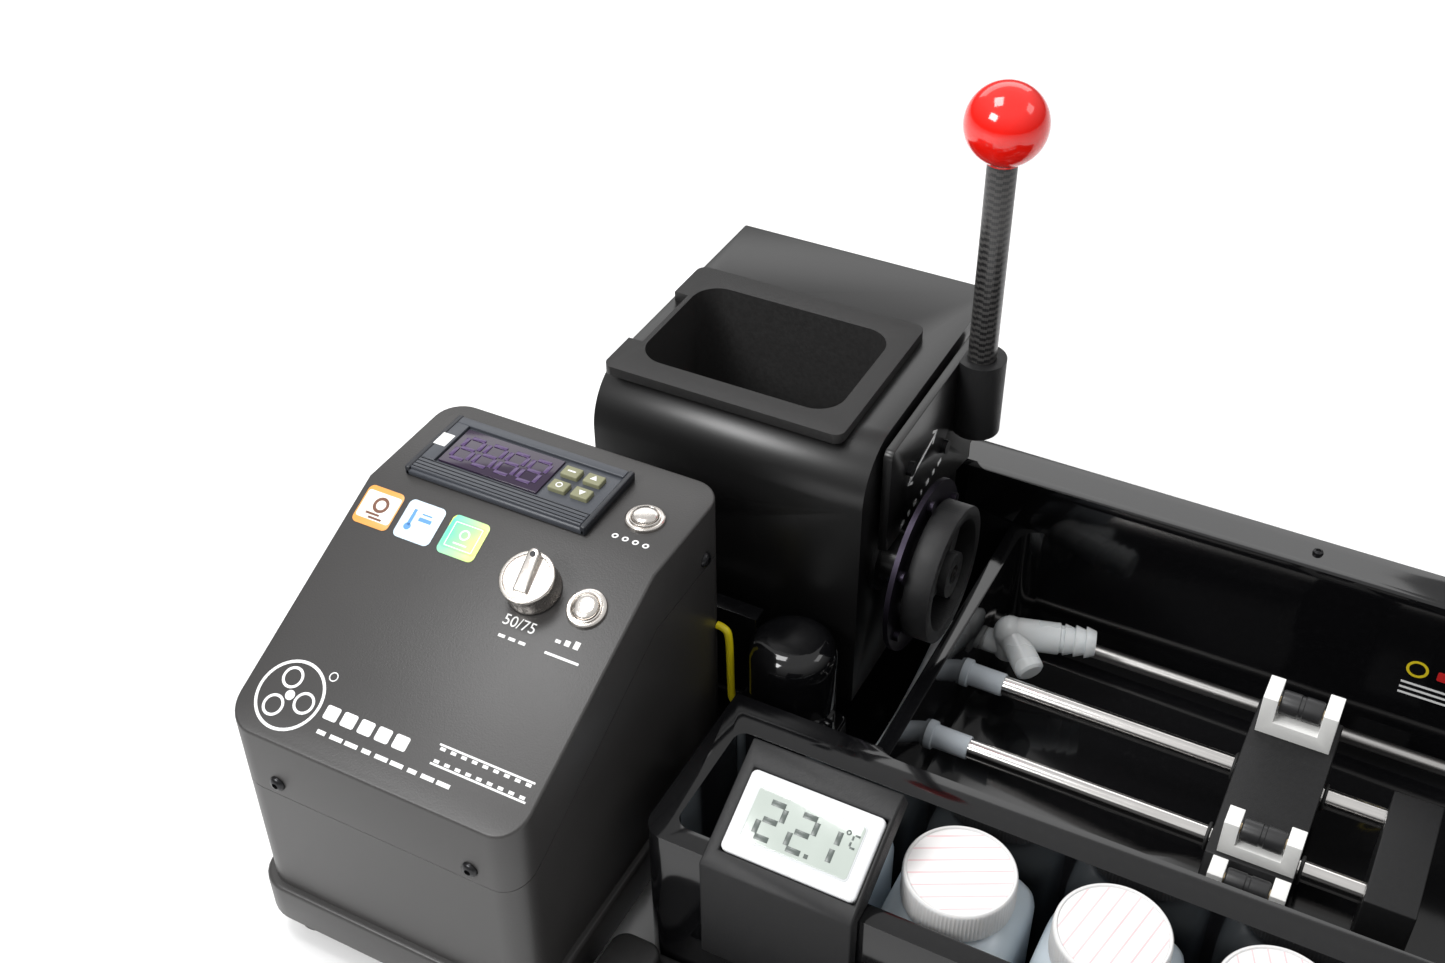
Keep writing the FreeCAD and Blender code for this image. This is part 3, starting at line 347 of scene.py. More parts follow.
def soften(thing, width, segments=3, angle=32.0):
    """Round every sharp edge a little."""
    only(thing)
    bevel = thing.modifiers.new("round", "BEVEL")
    bevel.width = width
    bevel.segments = segments
    bevel.limit_method = "ANGLE"
    bevel.angle_limit = math.radians(angle)
    bevel.use_clamp_overlap = True
    bpy.ops.object.modifier_apply(modifier="round")
    return smooth(thing)


def round_edges(thing, test, radius, segments):
    """Bevel the edges whose two ends pass a test, with a large radius."""
    only(thing)
    mesh = thing.data
    bpy.ops.object.mode_set(mode="EDIT")
    bpy.ops.mesh.select_mode(type="EDGE")
    bpy.ops.mesh.select_all(action="DESELECT")
    bpy.ops.object.mode_set(mode="OBJECT")
    for edge in mesh.edges:
        first, second = (mesh.vertices[index].co for index in edge.vertices)
        edge.select = test(first, second)
    bpy.ops.object.mode_set(mode="EDIT")
    bpy.ops.mesh.bevel(offset=radius, segments=segments, profile=0.5, affect="EDGES")
    bpy.ops.object.mode_set(mode="OBJECT")


def upright(first, second):
    return abs(first.z - second.z) > 10 * abs((first - second).to_2d().length)


def cube(name, low, high):
    clear()
    low, high = Vector(low), Vector(high)
    bpy.ops.mesh.primitive_cube_add(size=1.0, location=(low + high) / 2)
    block = named(name)
    block.scale = high - low
    return settle(block)


def block(name, low, high, round_by=0.0004, corner=0.0, segments=3):
    """A block with small round edges and, if asked for, larger upright corners."""
    made = cube(name, low, high)
    if corner:
        round_edges(made, upright, corner, 7)
    return soften(made, round_by, segments) if round_by else smooth(made)


def bar(name, radius, start, end, round_by=0.0002, sides=48):
    """A round bar between two points, with softened rims."""
    clear()
    start, end = Vector(start), Vector(end)
    run = end - start
    bpy.ops.mesh.primitive_cylinder_add(vertices=sides, radius=radius, depth=run.length)
    made = named(name)
    turn = run.to_track_quat("Z", "Y").to_matrix().to_4x4()
    made.matrix_world = Matrix.Translation((start + end) / 2) @ turn
    settle(made)
    return soften(made, round_by, 2, 50.0) if round_by else smooth(made)


def turned(name, profile, place, steps=64):
    """A turned piece: its profile (radius, height) spun round the local Z axis, then put in place."""
    mesh = bpy.data.meshes.new(name)
    points = [(radius, 0.0, height) for radius, height in profile]
    mesh.from_pydata(points, [(index, index + 1) for index in range(len(points) - 1)], [])
    made = bpy.data.objects.new(name, mesh)
    bpy.context.collection.objects.link(made)
    only(made)
    bpy.ops.object.mode_set(mode="EDIT")
    bpy.ops.mesh.select_all(action="SELECT")
    bpy.ops.mesh.spin(steps=steps, angle=math.tau, center=(0, 0, 0), axis=(0, 0, 1))
    bpy.ops.mesh.select_all(action="SELECT")
    bpy.ops.mesh.remove_doubles(threshold=0.000004)
    bpy.ops.mesh.normals_make_consistent(inside=False)
    bpy.ops.object.mode_set(mode="OBJECT")
    made.data.transform(place)
    made.data.update()
    return smooth(made, 30.0)


def tube(name, points, radius, sides=20, order=3):
    """A round tube along a smooth route."""
    curve = bpy.data.curves.new(name, "CURVE")
    curve.dimensions = "3D"
    curve.bevel_depth = radius
    curve.bevel_resolution = sides // 4
    curve.use_fill_caps = True
    curve.resolution_u = 16
    spline = curve.splines.new("NURBS")
    spline.points.add(len(points) - 1)
    for slot, point in zip(spline.points, points):
        slot.co = (*point, 1.0)
    spline.order_u = order
    spline.use_endpoint_u = True
    made = bpy.data.objects.new(name, curve)
    bpy.context.collection.objects.link(made)
    only(made)
    bpy.ops.object.convert(target="MESH")
    return smooth(bpy.context.active_object, 40.0)


def join(name, pieces):
    """Several pieces of one material as one object."""
    clear()
    for piece in pieces:
        piece.select_set(True)
    bpy.context.view_layer.objects.active = pieces[0]
    bpy.ops.object.join()
    return named(name)


def moved(thing, matrix):
    thing.data.transform(matrix)
    thing.data.update()
    return thing


def from_node(node, width, segments=2, angle=30.0):
    """A CAD node's shape with its facets merged and every sharp edge rounded."""
    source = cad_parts[node]
    made = bpy.data.objects.new(node + "_shaped", source.data.copy())
    bpy.context.collection.objects.link(made)
    only(made)
    bpy.ops.object.mode_set(mode="EDIT")
    bpy.ops.mesh.select_all(action="SELECT")
    bpy.ops.mesh.remove_doubles(threshold=0.00001)
    bpy.ops.mesh.dissolve_limited(angle_limit=math.radians(0.5))
    bpy.ops.object.mode_set(mode="OBJECT")
    made.data.materials.clear()
    return soften(made, width, segments, angle)


def finish(thing, body, material, slot, *nodes):
    """Give a finished piece its material and its body, and hide the CAD nodes it stands for; the slot
    argument is not used.
    """
    thing.data.materials.clear()
    thing.data.materials.append(material)
    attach(thing, body)
    if nodes:
        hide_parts(*nodes)
    return thing


def dress(material, *nodes):
    """Give CAD nodes a better material."""
    for name in nodes:
        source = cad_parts[name]
        for entry in source.material_slots:
            entry.material = material
        if not source.material_slots:
            source.data.materials.append(material)


# ---------------------------------------------------------------- camera, light and stage

PICTURE_WIDTH = 1445
FOCAL_REACH = 1703.0
SENSOR = 36.0
CAMERA_PLACE = Vector((85.7, -415.0, 531.4)) * MM
CAMERA_LOOK = Vector((-0.3675, 0.6844, -0.6297))
CAMERA_ROLL = math.radians(0.67)
HORIZON_GREY = 0.11
ZENITH_GREY = 0.78
# Name, place, width and depth in metres, power in watts.
LIGHTS = (("soft_front", (-0.62, -0.95, 1.05), (0.55, 0.40), 12.0),
          ("soft_top", (-0.48, -0.08, 1.30), (0.50, 0.40), 7.0),
          ("soft_right", (1.0, 0.5, 1.2), (0.6, 0.4), 2.0),
          ("rear_window", (-0.75, 1.35, 1.05), (2.2, 0.7), 8.0))


def camera():
    data = bpy.data.cameras.new("view")
    data.sensor_width = SENSOR
    data.lens = FOCAL_REACH * SENSOR / PICTURE_WIDTH
    data.clip_start = 0.01
    made = bpy.data.objects.new("view", data)
    bpy.context.collection.objects.link(made)
    look = CAMERA_LOOK.normalized()
    right = look.cross(UP).normalized()
    top = right.cross(look)
    tilted_right = right * math.cos(CAMERA_ROLL) - top * math.sin(CAMERA_ROLL)
    tilted_top = right * math.sin(CAMERA_ROLL) + top * math.cos(CAMERA_ROLL)
    turn = Matrix((tilted_right, tilted_top, -look)).transposed().to_4x4()
    made.matrix_world = Matrix.Translation(CAMERA_PLACE) @ turn
    bpy.context.scene.camera = made


def area_light(name, at, target, size, power):
    data = bpy.data.lights.new(name, "AREA")
    data.shape = "RECTANGLE"
    data.size, data.size_y = size
    data.energy = power
    made = bpy.data.objects.new(name, data)
    bpy.context.collection.objects.link(made)
    aim = Vector(target) - Vector(at)
    made.matrix_world = Matrix.Translation(at) @ aim.to_track_quat("-Z", "Y").to_matrix().to_4x4()


def stage():
    clear()
    bpy.ops.mesh.primitive_plane_add(size=12.0, location=(0, 0, 0))
    floor = named("pale_floor")
    paint = Paint("pale_floor")
    cloud = paint.noise(paint.spot(), 2.0, 2.0)
    paint.set(Base_Color=paint.blend(cloud, (0.93, 0.93, 0.93), (0.97, 0.97, 0.97)), Roughness=0.9)
    floor.data.materials.append(paint.material)
    world = bpy.data.worlds.new("studio")
    world.use_nodes = True
    nodes = world.node_tree.nodes
    links = world.node_tree.links
    sky = nodes.new("ShaderNodeTexCoord")
    split = nodes.new("ShaderNodeSeparateXYZ")
    ramp = nodes.new("ShaderNodeValToRGB")
    stops = ((0.05, HORIZON_GREY), (0.75, ZENITH_GREY))
    for element, (position, grey) in zip(ramp.color_ramp.elements, stops):
        element.position = position
        element.color = (grey, grey, grey, 1.0)
    links.new(sky.outputs["Generated"], split.inputs[0])
    links.new(split.outputs[2], ramp.inputs[0])
    links.new(ramp.outputs[0], nodes["Background"].inputs["Color"])
    nodes["Background"].inputs["Strength"].default_value = 1.0
    bpy.context.scene.world = world
    middle = (-0.05, 0.0, 0.1)
    for name, place, size, power in LIGHTS:
        area_light(name, place, middle, size, power)
    bpy.context.scene.view_settings.view_transform = "Standard"


# ---------------------------------------------------------------- finishes

CASE = moulded("case_abs_textured", (0.034, 0.0325, 0.032), 0.40, 1500.0, 0.45)
SLATE = moulded("controller_slate", (0.050, 0.055, 0.066), 0.40, 1200.0, 0.2)
SLATE_END = moulded("controller_end", (0.014, 0.016, 0.021), 0.4, 1200.0, 0.2)
KHAKI = moulded("key_khaki", (0.22, 0.22, 0.13), 0.55, 900.0, 0.3)
GLOSS = gloss_black()
PRINT = printed("printed_black", (0.0085, 0.0085, 0.009), 0.46)
PRINT_GREY = printed("printed_grey_black", (0.020, 0.0195, 0.0195), 0.48, 0.0002,
                     (math.radians(90.0), 0.0, 0.0))
COAT = powder_coat()
STEEL = brushed("drawn_steel", (0.78, 0.76, 0.74), 0.16, (1.0, 30.0, 30.0))
DULL_STEEL = brushed("dull_steel", (0.45, 0.44, 0.43), 0.32, (1.0, 30.0, 30.0))
NICKEL = spun_metal("satin_nickel", (0.72, 0.68, 0.64), 0.22, 0.0)
RUBBER = moulded("black_rubber", (0.012, 0.012, 0.012), 0.6, 700.0, 0.3)
ROLLER = moulded("roller_black", (0.022, 0.022, 0.023), 0.38, 900.0, 0.15)
WHITE = moulded("white_nylon", (0.86, 0.86, 0.84), 0.4, 800.0, 0.15, 0.04)
CAP_WHITE = milky("cap_polypropylene", (0.78, 0.775, 0.77), 0.06, 0.36, 0.002)
MODULE_WHITE = moulded("module_white", (0.76, 0.77, 0.78), 0.35, 1200.0, 0.15, 0.04)
BRASS = plain("turned_brass", (0.72, 0.56, 0.34), 0.28, 1.0)
SLEEVE = milky("sleeve_grey_nylon", (0.48, 0.52, 0.56), 0.08, 0.4, 0.003)
MILKY = milky("milky_polypropylene", (0.82, 0.85, 0.86), 0.25, 0.28)
BOTTLE = milky("bottle_hdpe", (0.74, 0.83, 0.90), 0.35, 0.3, 0.008)
YELLOW = moulded("yellow_jacket", (0.85, 0.70, 0.01), 0.35, 900.0, 0.1, 0.08)
RED = lacquer_red()
PAINT_WHITE = plain("white_ink", (0.85, 0.85, 0.85), 0.5)
GREY_INK = plain("lcd_digits", (0.09, 0.11, 0.10), 0.3)
SEGMENT = plain("unlit_digits", (0.07, 0.035, 0.12), 0.25)
DISC = brushed("disc_anodised", (0.034, 0.029, 0.042), 0.42)
SCREW = plain("black_screw", (0.03, 0.03, 0.032), 0.3, 0.8)
BOARD = plain("circuit_green", (0.02, 0.16, 0.06), 0.4)
ALUMINIUM = plain("plain_aluminium", (0.6, 0.6, 0.6), 0.35, 1.0)


# ---------------------------------------------------------------- control unit

cover_low, cover_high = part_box("control_top_cover")
case_low, case_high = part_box("control_body")
FOLD_BACK = -0.056
SEAM_DROP = 0.0245
SEAM_FRONT_FALL = 0.0435
CASE_CORNER = 0.011
SEAM_GAP = 0.0004
SLOPE_DROP = 0.04085
LEAN = math.atan2(SLOPE_DROP, FOLD_BACK - cover_low.y)


def slope_frame(across, down):
    """The place and turn of something set flat on the sloped panel."""
    back = FOLD_BACK - down * math.cos(LEAN)
    height = cover_high.z - down * math.sin(LEAN)
    return Matrix.Translation((across, back, height)) @ Matrix.Rotation(LEAN, 4, "X")


def drop_front(thing, front_height):
    """Split a block at the fold and lower its front edge to the slope."""
    only(thing)
    bpy.ops.object.mode_set(mode="EDIT")
    bpy.ops.mesh.select_all(action="SELECT")
    bpy.ops.mesh.bisect(plane_co=(0, FOLD_BACK, 0), plane_no=(0, 1, 0))
    bpy.ops.object.mode_set(mode="OBJECT")
    for vertex in thing.data.vertices:
        if vertex.co.y < FOLD_BACK - 0.001 and front_height(vertex.co) is not None:
            vertex.co.z = front_height(vertex.co)
    return thing


def at_corner(first, second):
    """An upright edge at one of the case's four corners."""
    away = min(abs(first.y - cover_low.y), abs(first.y - cover_high.y))
    return upright(first, second) and away < 0.0001


def case_shell():
    """The cover and the body below it, cut along a seam that follows the panel."""
    seam = cover_high.z - SEAM_DROP
    top = cube("control_cover", (cover_low.x, cover_low.y, seam), cover_high)
    drop_front(top, lambda point: point.z - (SLOPE_DROP if point.z > seam + 0.001 else SEAM_FRONT_FALL))
    round_edges(top, at_corner, CASE_CORNER, 8)

    def on_panel_rim(first, second):
        heights = []
        for point in (first, second):
            fall = max(0.0, (FOLD_BACK - point.y) / (FOLD_BACK - cover_low.y)) * SLOPE_DROP
            heights.append(cover_high.z - fall - point.z)
        crossing = abs(first.y - second.y) < 1e-5 and cover_low.y + 0.02 < first.y < cover_high.y - 0.02
        return max(heights) < 0.0001 and not crossing

    round_edges(top, on_panel_rim, 0.0009, 3)
    smooth(top, 50.0)
    finish(top, "base", CASE, "case_plastic", "control_top_cover")
    body = cube("control_case", (case_low.x, case_low.y, case_low.z),
                (case_high.x, case_high.y, seam - SEAM_GAP))
    drop_front(body, lambda point: point.z - SEAM_FRONT_FALL if point.z > 0.1 else None)
    round_edges(body, at_corner, CASE_CORNER, 8)
    smooth(body, 50.0)
    finish(body, "base", CASE, "case_plastic", "control_body")
    lip_low, lip_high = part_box("control_base_plate")
    lip = block("control_base", lip_low, lip_high, 0.0016, 0.013, 4)
    finish(lip, "base", CASE, "case_plastic", "control_base_plate")


def case_screws():
    """Button-head screws with a round recess, in the skirt of the cover."""
    heads = []
    for across in (-230.5, -152.0):
        heads.append(Matrix.Translation((across * MM, cover_low.y - 0.0001, 0.0896)) @ Matrix.Rotation(
            math.radians(90.0), 4, "X"))
    for side, across in ((1, cover_high.x), (-1, cover_low.x)):
        heads.append(Matrix.Translation((across, -0.0214, 0.131)) @ Matrix.Rotation(
            math.radians(90.0 * side), 4, "Y"))
    screws = []
    for number, place in enumerate(heads):
        screws.append(turned("screw_%d" % number, [
            (0.0, 0.0005), (0.0011, 0.0005), (0.0012, 0.0017), (0.0020, 0.0015), (0.0027, 0.0009),
            (0.0030, 0.0003), (0.0030, 0.0), (0.0, 0.0)], place, 24))
    finish(join("cover_screw_heads", screws), "base", SCREW, "steel", "cover_screws")


case_shell()
case_screws()

dial_low, dial_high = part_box("temperature_controller")
BEZEL_RISE = 0.004
END_WIDTH = 0.0022
DIGIT_SKEW = 0.12


def segment_digit(name, height, stroke, thick, skew, lit="abcdefg"):
    """One seven-bar digit lying flat, its lower left corner at the origin."""
    half = height / 2
    wide = height * 0.55
    spots = {"a": (wide / 2, height, 0), "g": (wide / 2, half, 0), "d": (wide / 2, 0.0, 0),
             "f": (0.0, half * 1.5, 1), "b": (wide, half * 1.5, 1), "e": (0.0, half * 0.5, 1),
             "c": (wide, half * 0.5, 1)}
    bars = []
    for letter in lit:
        across, rise, standing = spots[letter]
        length = (half if standing else wide) - stroke * 0.9
        wide_half, tall_half = (stroke / 2, length / 2) if standing else (length / 2, stroke / 2)
        reach = Vector((wide_half, tall_half, thick / 2))
        middle = Vector((across + skew * rise, rise, thick / 2))
        bars.append(block(name + letter, middle - reach, middle + reach, stroke * 0.22, 0.0, 2))
    return join(name, bars)


def row_of_digits(name, count, height, stroke, thick, pitch):
    """Unlit digits side by side, every bar showing."""
    digits = []
    for index in range(count):
        digit = segment_digit("%s_%d" % (name, index), height, stroke, thick, DIGIT_SKEW)
        digits.append(moved(digit, Matrix.Translation((index * pitch, 0, 0))))
    return join(name, digits)


def controller():
    top = dial_high.z
    low = Vector((dial_low.x, dial_low.y, top - BEZEL_RISE))
    high = dial_high
    parts = [block("bezel_plate", low, (high.x, high.y, top - 0.0012), 0.0008, 0.0, 3)]
    rims = [((low.x + END_WIDTH, high.y - 0.0045), (high.x - END_WIDTH, high.y - 0.0008)),
            ((low.x + END_WIDTH, low.y + 0.0008), (high.x - END_WIDTH, low.y + 0.0075)),
            ((low.x + END_WIDTH, low.y + 0.0075), (-0.2312, high.y - 0.0045))]
    for index, ((left, front), (right, rear)) in enumerate(rims):
        parts.append(block("bezel_rim_%d" % index, (left, front, top - 0.0016), (right, rear, top), 0.0003))
    for index in range(4):
        front = low.y + 0.0012 + index * 0.0017
        parts.append(block("bezel_ridge_%d" % index, (low.x + END_WIDTH, front, top - 0.0010),
                           (high.x - END_WIDTH, front + 0.0010, top), 0.0003))
    parts.append(block("bezel_face", (-0.1880, low.y + 0.0075, top - 0.0018),
                       (high.x - END_WIDTH, high.y - 0.0045, top - 0.0009), 0.0002))
    finish(join("controller_bezel", parts), "base", SLATE, "controller_plastic", "temperature_controller")
    for side, left in (("left", low.x), ("right", high.x - END_WIDTH)):
        cap = block("controller_end_" + side, (left, low.y, top - BEZEL_RISE),
                    (left + END_WIDTH, high.y, top), 0.0006)
        finish(cap, "base", SLATE_END, "controller_plastic")
    window = block("controller_window", (-0.2304, -0.0412, top - 0.0014),
                   (-0.1890, -0.0214, top - 0.0004), 0.0002)
    finish(window, "base", dark_window(), "controller_plastic")
    digits = row_of_digits("controller_digits", 4, 0.0125, 0.0016, 0.0002, 0.0094)
    moved(digits, Matrix.Translation((-0.2282, -0.0378, top - 0.00035)))
    finish(digits, "base", SEGMENT, "controller_plastic")
    badge = block("controller_badge", (-0.2372, -0.0345, top - 0.0001),
                  (-0.2322, -0.0275, top + 0.0001), 0.00005)
    finish(badge, "base", PAINT_WHITE, "controller_plastic")


def key_legend(name, kind, centre, top):
    """The raised white mark on a key: a triangle up or down, a ring or a bar."""
    if kind in ("up", "down"):
        clear()
        bpy.ops.mesh.primitive_cylinder_add(vertices=3, radius=0.0016, depth=0.0002,
                                            location=(centre.x, centre.y, top + 0.0001))
        mark = named(name)
        mark.rotation_euler = (0, 0, 0 if kind == "up" else math.pi)
        return soften(settle(mark), 0.00005, 2)
    if kind == "ring":
        clear()
        bpy.ops.mesh.primitive_torus_add(major_radius=0.0011, minor_radius=0.00028, major_segments=28,
                                         minor_segments=8, location=(centre.x, centre.y, top))
        return smooth(named(name))
    reach = Vector((0.0016, 0.00035, 0.0001))
    middle = Vector((centre.x, centre.y, top))
    return block(name, middle - reach, middle + reach, 0.00004)


def keys():
    kinds = (("key_set", "set_key", "bar"), ("key_up", "up_key", "up"), ("key_reset", "reset_key", "ring"),
             ("key_down", "down_key", "down"))
    for node, body, kind in kinds:
        low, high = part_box(node)
        cap = block(node + "_cap", low, high, 0.0005, 0.0, 3)
        finish(cap, body, KHAKI, "key_rubber", node)
        legend = key_legend(node + "_mark", kind, (low + high) / 2, high.z - 0.00005)
        finish(legend, body, PAINT_WHITE, "key_rubber")


def push_button(name, place, body, node, bezels):
    """A flanged metal push button: a stepped ring and a domed plunger."""
    ring = turned(name + "_ring", [
        (0.0048, -0.002), (0.0048, 0.0016), (0.0051, 0.0019), (0.0055, 0.0018), (0.0057, 0.0013),
        (0.0065, 0.0014), (0.0070, 0.0011), (0.0072, 0.0006), (0.0072, 0.0), (0.0060, -0.0008)], place)
    bezels.append(ring)
    plunger = turned(name + "_plunger", [
        (0.0, 0.00315), (0.0025, 0.0031), (0.0038, 0.0029), (0.0044, 0.0025), (0.0046, 0.0020),
        (0.0046, -0.004), (0.0, -0.004)], place)
    finish(plunger, body, NICKEL, "bright_metal", node)


def speed_knob():
    """A turned knob with a fluted skirt, a raised rim, a tapered grip bar and a black dot."""
    place = slope_frame(-0.1699, 0.0188)
    flutes = 60
    width_scale, height_scale = 0.825, 0.78
    rings = []
    for height, reach, depth in ((0.0006, 0.0116, 0.0), (0.0008, 0.0119, 0.0), (0.0018, 0.0119, 0.0),
                                 (0.0022, 0.0118, 1.0), (0.0100, 0.0118, 1.0), (0.0104, 0.0119, 0.0),
                                 (0.0116, 0.0119, 0.0), (0.0120, 0.0116, 0.0), (0.0121, 0.0112, 0.0),
                                 (0.0121, 0.0104, 0.0), (0.0119, 0.0102, 0.0), (0.0114, 0.0100, 0.0),
                                 (0.0114, 0.0098, 0.0), (0.0117, 0.0096, 0.0), (0.0117, 0.0040, 0.0)):
        ring = []
        for index in range(flutes * 3):
            angle = math.tau * index / (flutes * 3)
            radius = reach * width_scale - 0.00016 * depth * (0.5 + 0.5 * math.cos(angle * flutes))
            ring.append((radius * math.cos(angle), radius * math.sin(angle), height * height_scale))
        rings.append(ring)
    body = loft("knob_body", rings, True)
    moved(body, place)
    turn = place @ Matrix.Rotation(math.radians(5.0), 4, "Z")
    pointer = cube("knob_pointer", (-0.0029, -0.0060, 0.0086), (0.0029, 0.0096, 0.0122))
    for vertex in pointer.data.vertices:
        if vertex.co.y > 0:
            vertex.co.x *= 0.80
        if vertex.co.z > 0.0110:
            vertex.co.x *= 0.88
            if vertex.co.y < 0:
                vertex.co.z -= 0.0018
    round_edges(pointer, lambda first, second: abs(first.z - second.z) > 0.002 and first.y > 0, 0.0019, 6)
    soften(pointer, 0.0006, 3)
    moved(pointer, turn)
    knob = join("speed_knob_turned", [body, pointer])
    metal = spun_metal("knob_metal", (0.66, 0.62, 0.58), 0.26, LEAN)
    finish(knob, "speed_dial", metal, "bright_metal", "speed_knob")
    dot = bar("knob_dot", 0.0010, (0, 0.0074, 0.0120), (0, 0.0074, 0.01222), 0.0, 24)
    moved(dot, turn)
    finish(dot, "speed_dial", SCREW, "bright_metal")


def loft(name, rings, capped=False):
    """A skin over rings that have the same number of points, closed at its ends if capped."""
    count = len(rings[0])
    points = [point for ring in rings for point in ring]
    faces = []
    for level in range(len(rings) - 1):
        for index in range(count):
            after = (index + 1) % count
            faces.append((level * count + index, level * count + after, (level + 1) * count + after,
                          (level + 1) * count + index))
    if capped:
        faces.append(tuple(reversed(range(count))))
        faces.append(tuple(range((len(rings) - 1) * count, len(rings) * count)))
    mesh = bpy.data.meshes.new(name)
    mesh.from_pydata(points, [], faces)
    made = bpy.data.objects.new(name, mesh)
    bpy.context.collection.objects.link(made)
    return smooth(made, 40.0)


def flat_strip(across, down, width, depth, turn=0.0, corner=0.0):
    """A thin printed mark lying on the sloped panel."""
    strip = block("printed_strip", (-width / 2, -depth / 2, 0.00002),
                  (width / 2, depth / 2, 0.00010), 0.0, corner)
    return moved(strip, slope_frame(across, down) @ Matrix.Rotation(turn, 4, "Z"))


def flat_ring(across, down, outer, inner, shift=Matrix.Identity(4)):
    """A thin printed ring, or a disc if it has no hole."""
    profile = [(outer, 0.00002), (outer, 0.0001), (inner, 0.0001)]
    if inner:
        profile.append((inner, 0.00002))
    return turned("printed_ring", profile, slope_frame(across, down) @ shift, 48)


def dial_number(text, size, place):
    """Plain numerals, made a mesh and laid on a surface."""
    clear()
    bpy.ops.object.text_add(location=(0, 0, 0))
    label = bpy.context.active_object
    label.data.body = text
    label.data.size = size
    label.data.align_x = "CENTER"
    label.data.align_y = "CENTER"
    label.data.extrude = 0.00003
    bpy.ops.object.convert(target="MESH")
    return moved(bpy.context.active_object, place @ Matrix.Translation((0, 0, 0.00005)))


def panel_marks():
    """White print on the panel: dial numbers, small bars, a plain reel of three rings and film frames."""
    marks = [dial_number("50/75", 0.0056, slope_frame(-0.1685, 0.0322))]
    for index in range(3):
        marks.append(flat_strip(-0.1724 + index * 0.0040, 0.0380, 0.0026, 0.0011))
    for index, height in enumerate((0.0012, 0.0020, 0.0028)):
        marks.append(flat_strip(-0.1530 + index * 0.0034, 0.0336 - height / 2, 0.0020, height))
    marks.append(flat_strip(-0.1490, 0.0380, 0.0130, 0.0009))
    for index in range(4):
        drop = turned("pump_drop", [(0.0012, 0.00002), (0.0012, 0.0001), (0.0006, 0.0001), (0.0006, 0.00002)],
                      Matrix.Translation((-0.1549 + index * 0.0040, -0.0448, cover_high.z)), 24)
        marks.append(drop)
    across, down = -0.2318, 0.0832
    marks.append(flat_ring(across, down, 0.0128, 0.0117))
    for index in range(3):
        turn = Matrix.Rotation(math.tau * index / 3 + 0.4, 4, "Z") @ Matrix.Translation((0, 0.0064, 0))
        marks.append(flat_ring(across, down, 0.0040, 0.0030, turn))
    marks.append(flat_ring(across, down, 0.0018, 0.0))
    marks.append(flat_ring(-0.2205, 0.0720, 0.0017, 0.0013))
    for index in range(5):
        frame_across = -0.2140 + index * 0.0070
        marks.append(flat_strip(frame_across, 0.0835, 0.0054, 0.0050, 0.0, 0.0008))
    for index in range(9):
        marks.append(flat_strip(-0.2140 + index * 0.0061, 0.0906, 0.0050 if index % 3 else 0.0034, 0.0015))
    for edge in (-1, 1):
        marks.append(flat_strip(-0.1549, 0.0824 + edge * 0.0034, 0.0365, 0.0007))
        for index in range(9):
            marks.append(flat_strip(-0.1713 + index * 0.0041, 0.0824 + edge * 0.0022, 0.0020, 0.0011))
    finish(join("panel_print", marks), "base", PAINT_WHITE, "case_plastic")


def sticker_piece(name, across, field, border, details):
    """One printed label: its border, its paler field and a small drawing."""
    place = slope_frame(across, 0.0107) @ Matrix.Scale(0.92, 4)
    edge = block(name + "_border", (-0.0083, -0.0083, 0.0), (0.0083, 0.0083, 0.00016), 0.00005, 0.0024)
    finish(moved(edge, place), "base", border, "case_plastic")
    inner = block(name + "_field", (-0.0077, -0.0057, 0.00010), (0.0077, 0.0062, 0.00022), 0.00003, 0.0012)
    finish(moved(inner, place), "base", field, "case_plastic")
    for number, (colour, pieces) in enumerate(details):
        finish(moved(join("%s_drawing_%d" % (name, number), pieces), place), "base", colour, "case_plastic")


def thin_ring(outer, inner, at, height=0.00028):
    profile = [(outer, 0.00018), (outer, height), (inner, height)]
    if inner:
        profile.append((inner, 0.00018))
    return turned("thin_ring", profile, Matrix.Translation((*at, 0.0)), 36)


def thin_block(low, high, height=0.00028):
    return block("thin_block", (*low, 0.00018), (*high, height), 0.0)


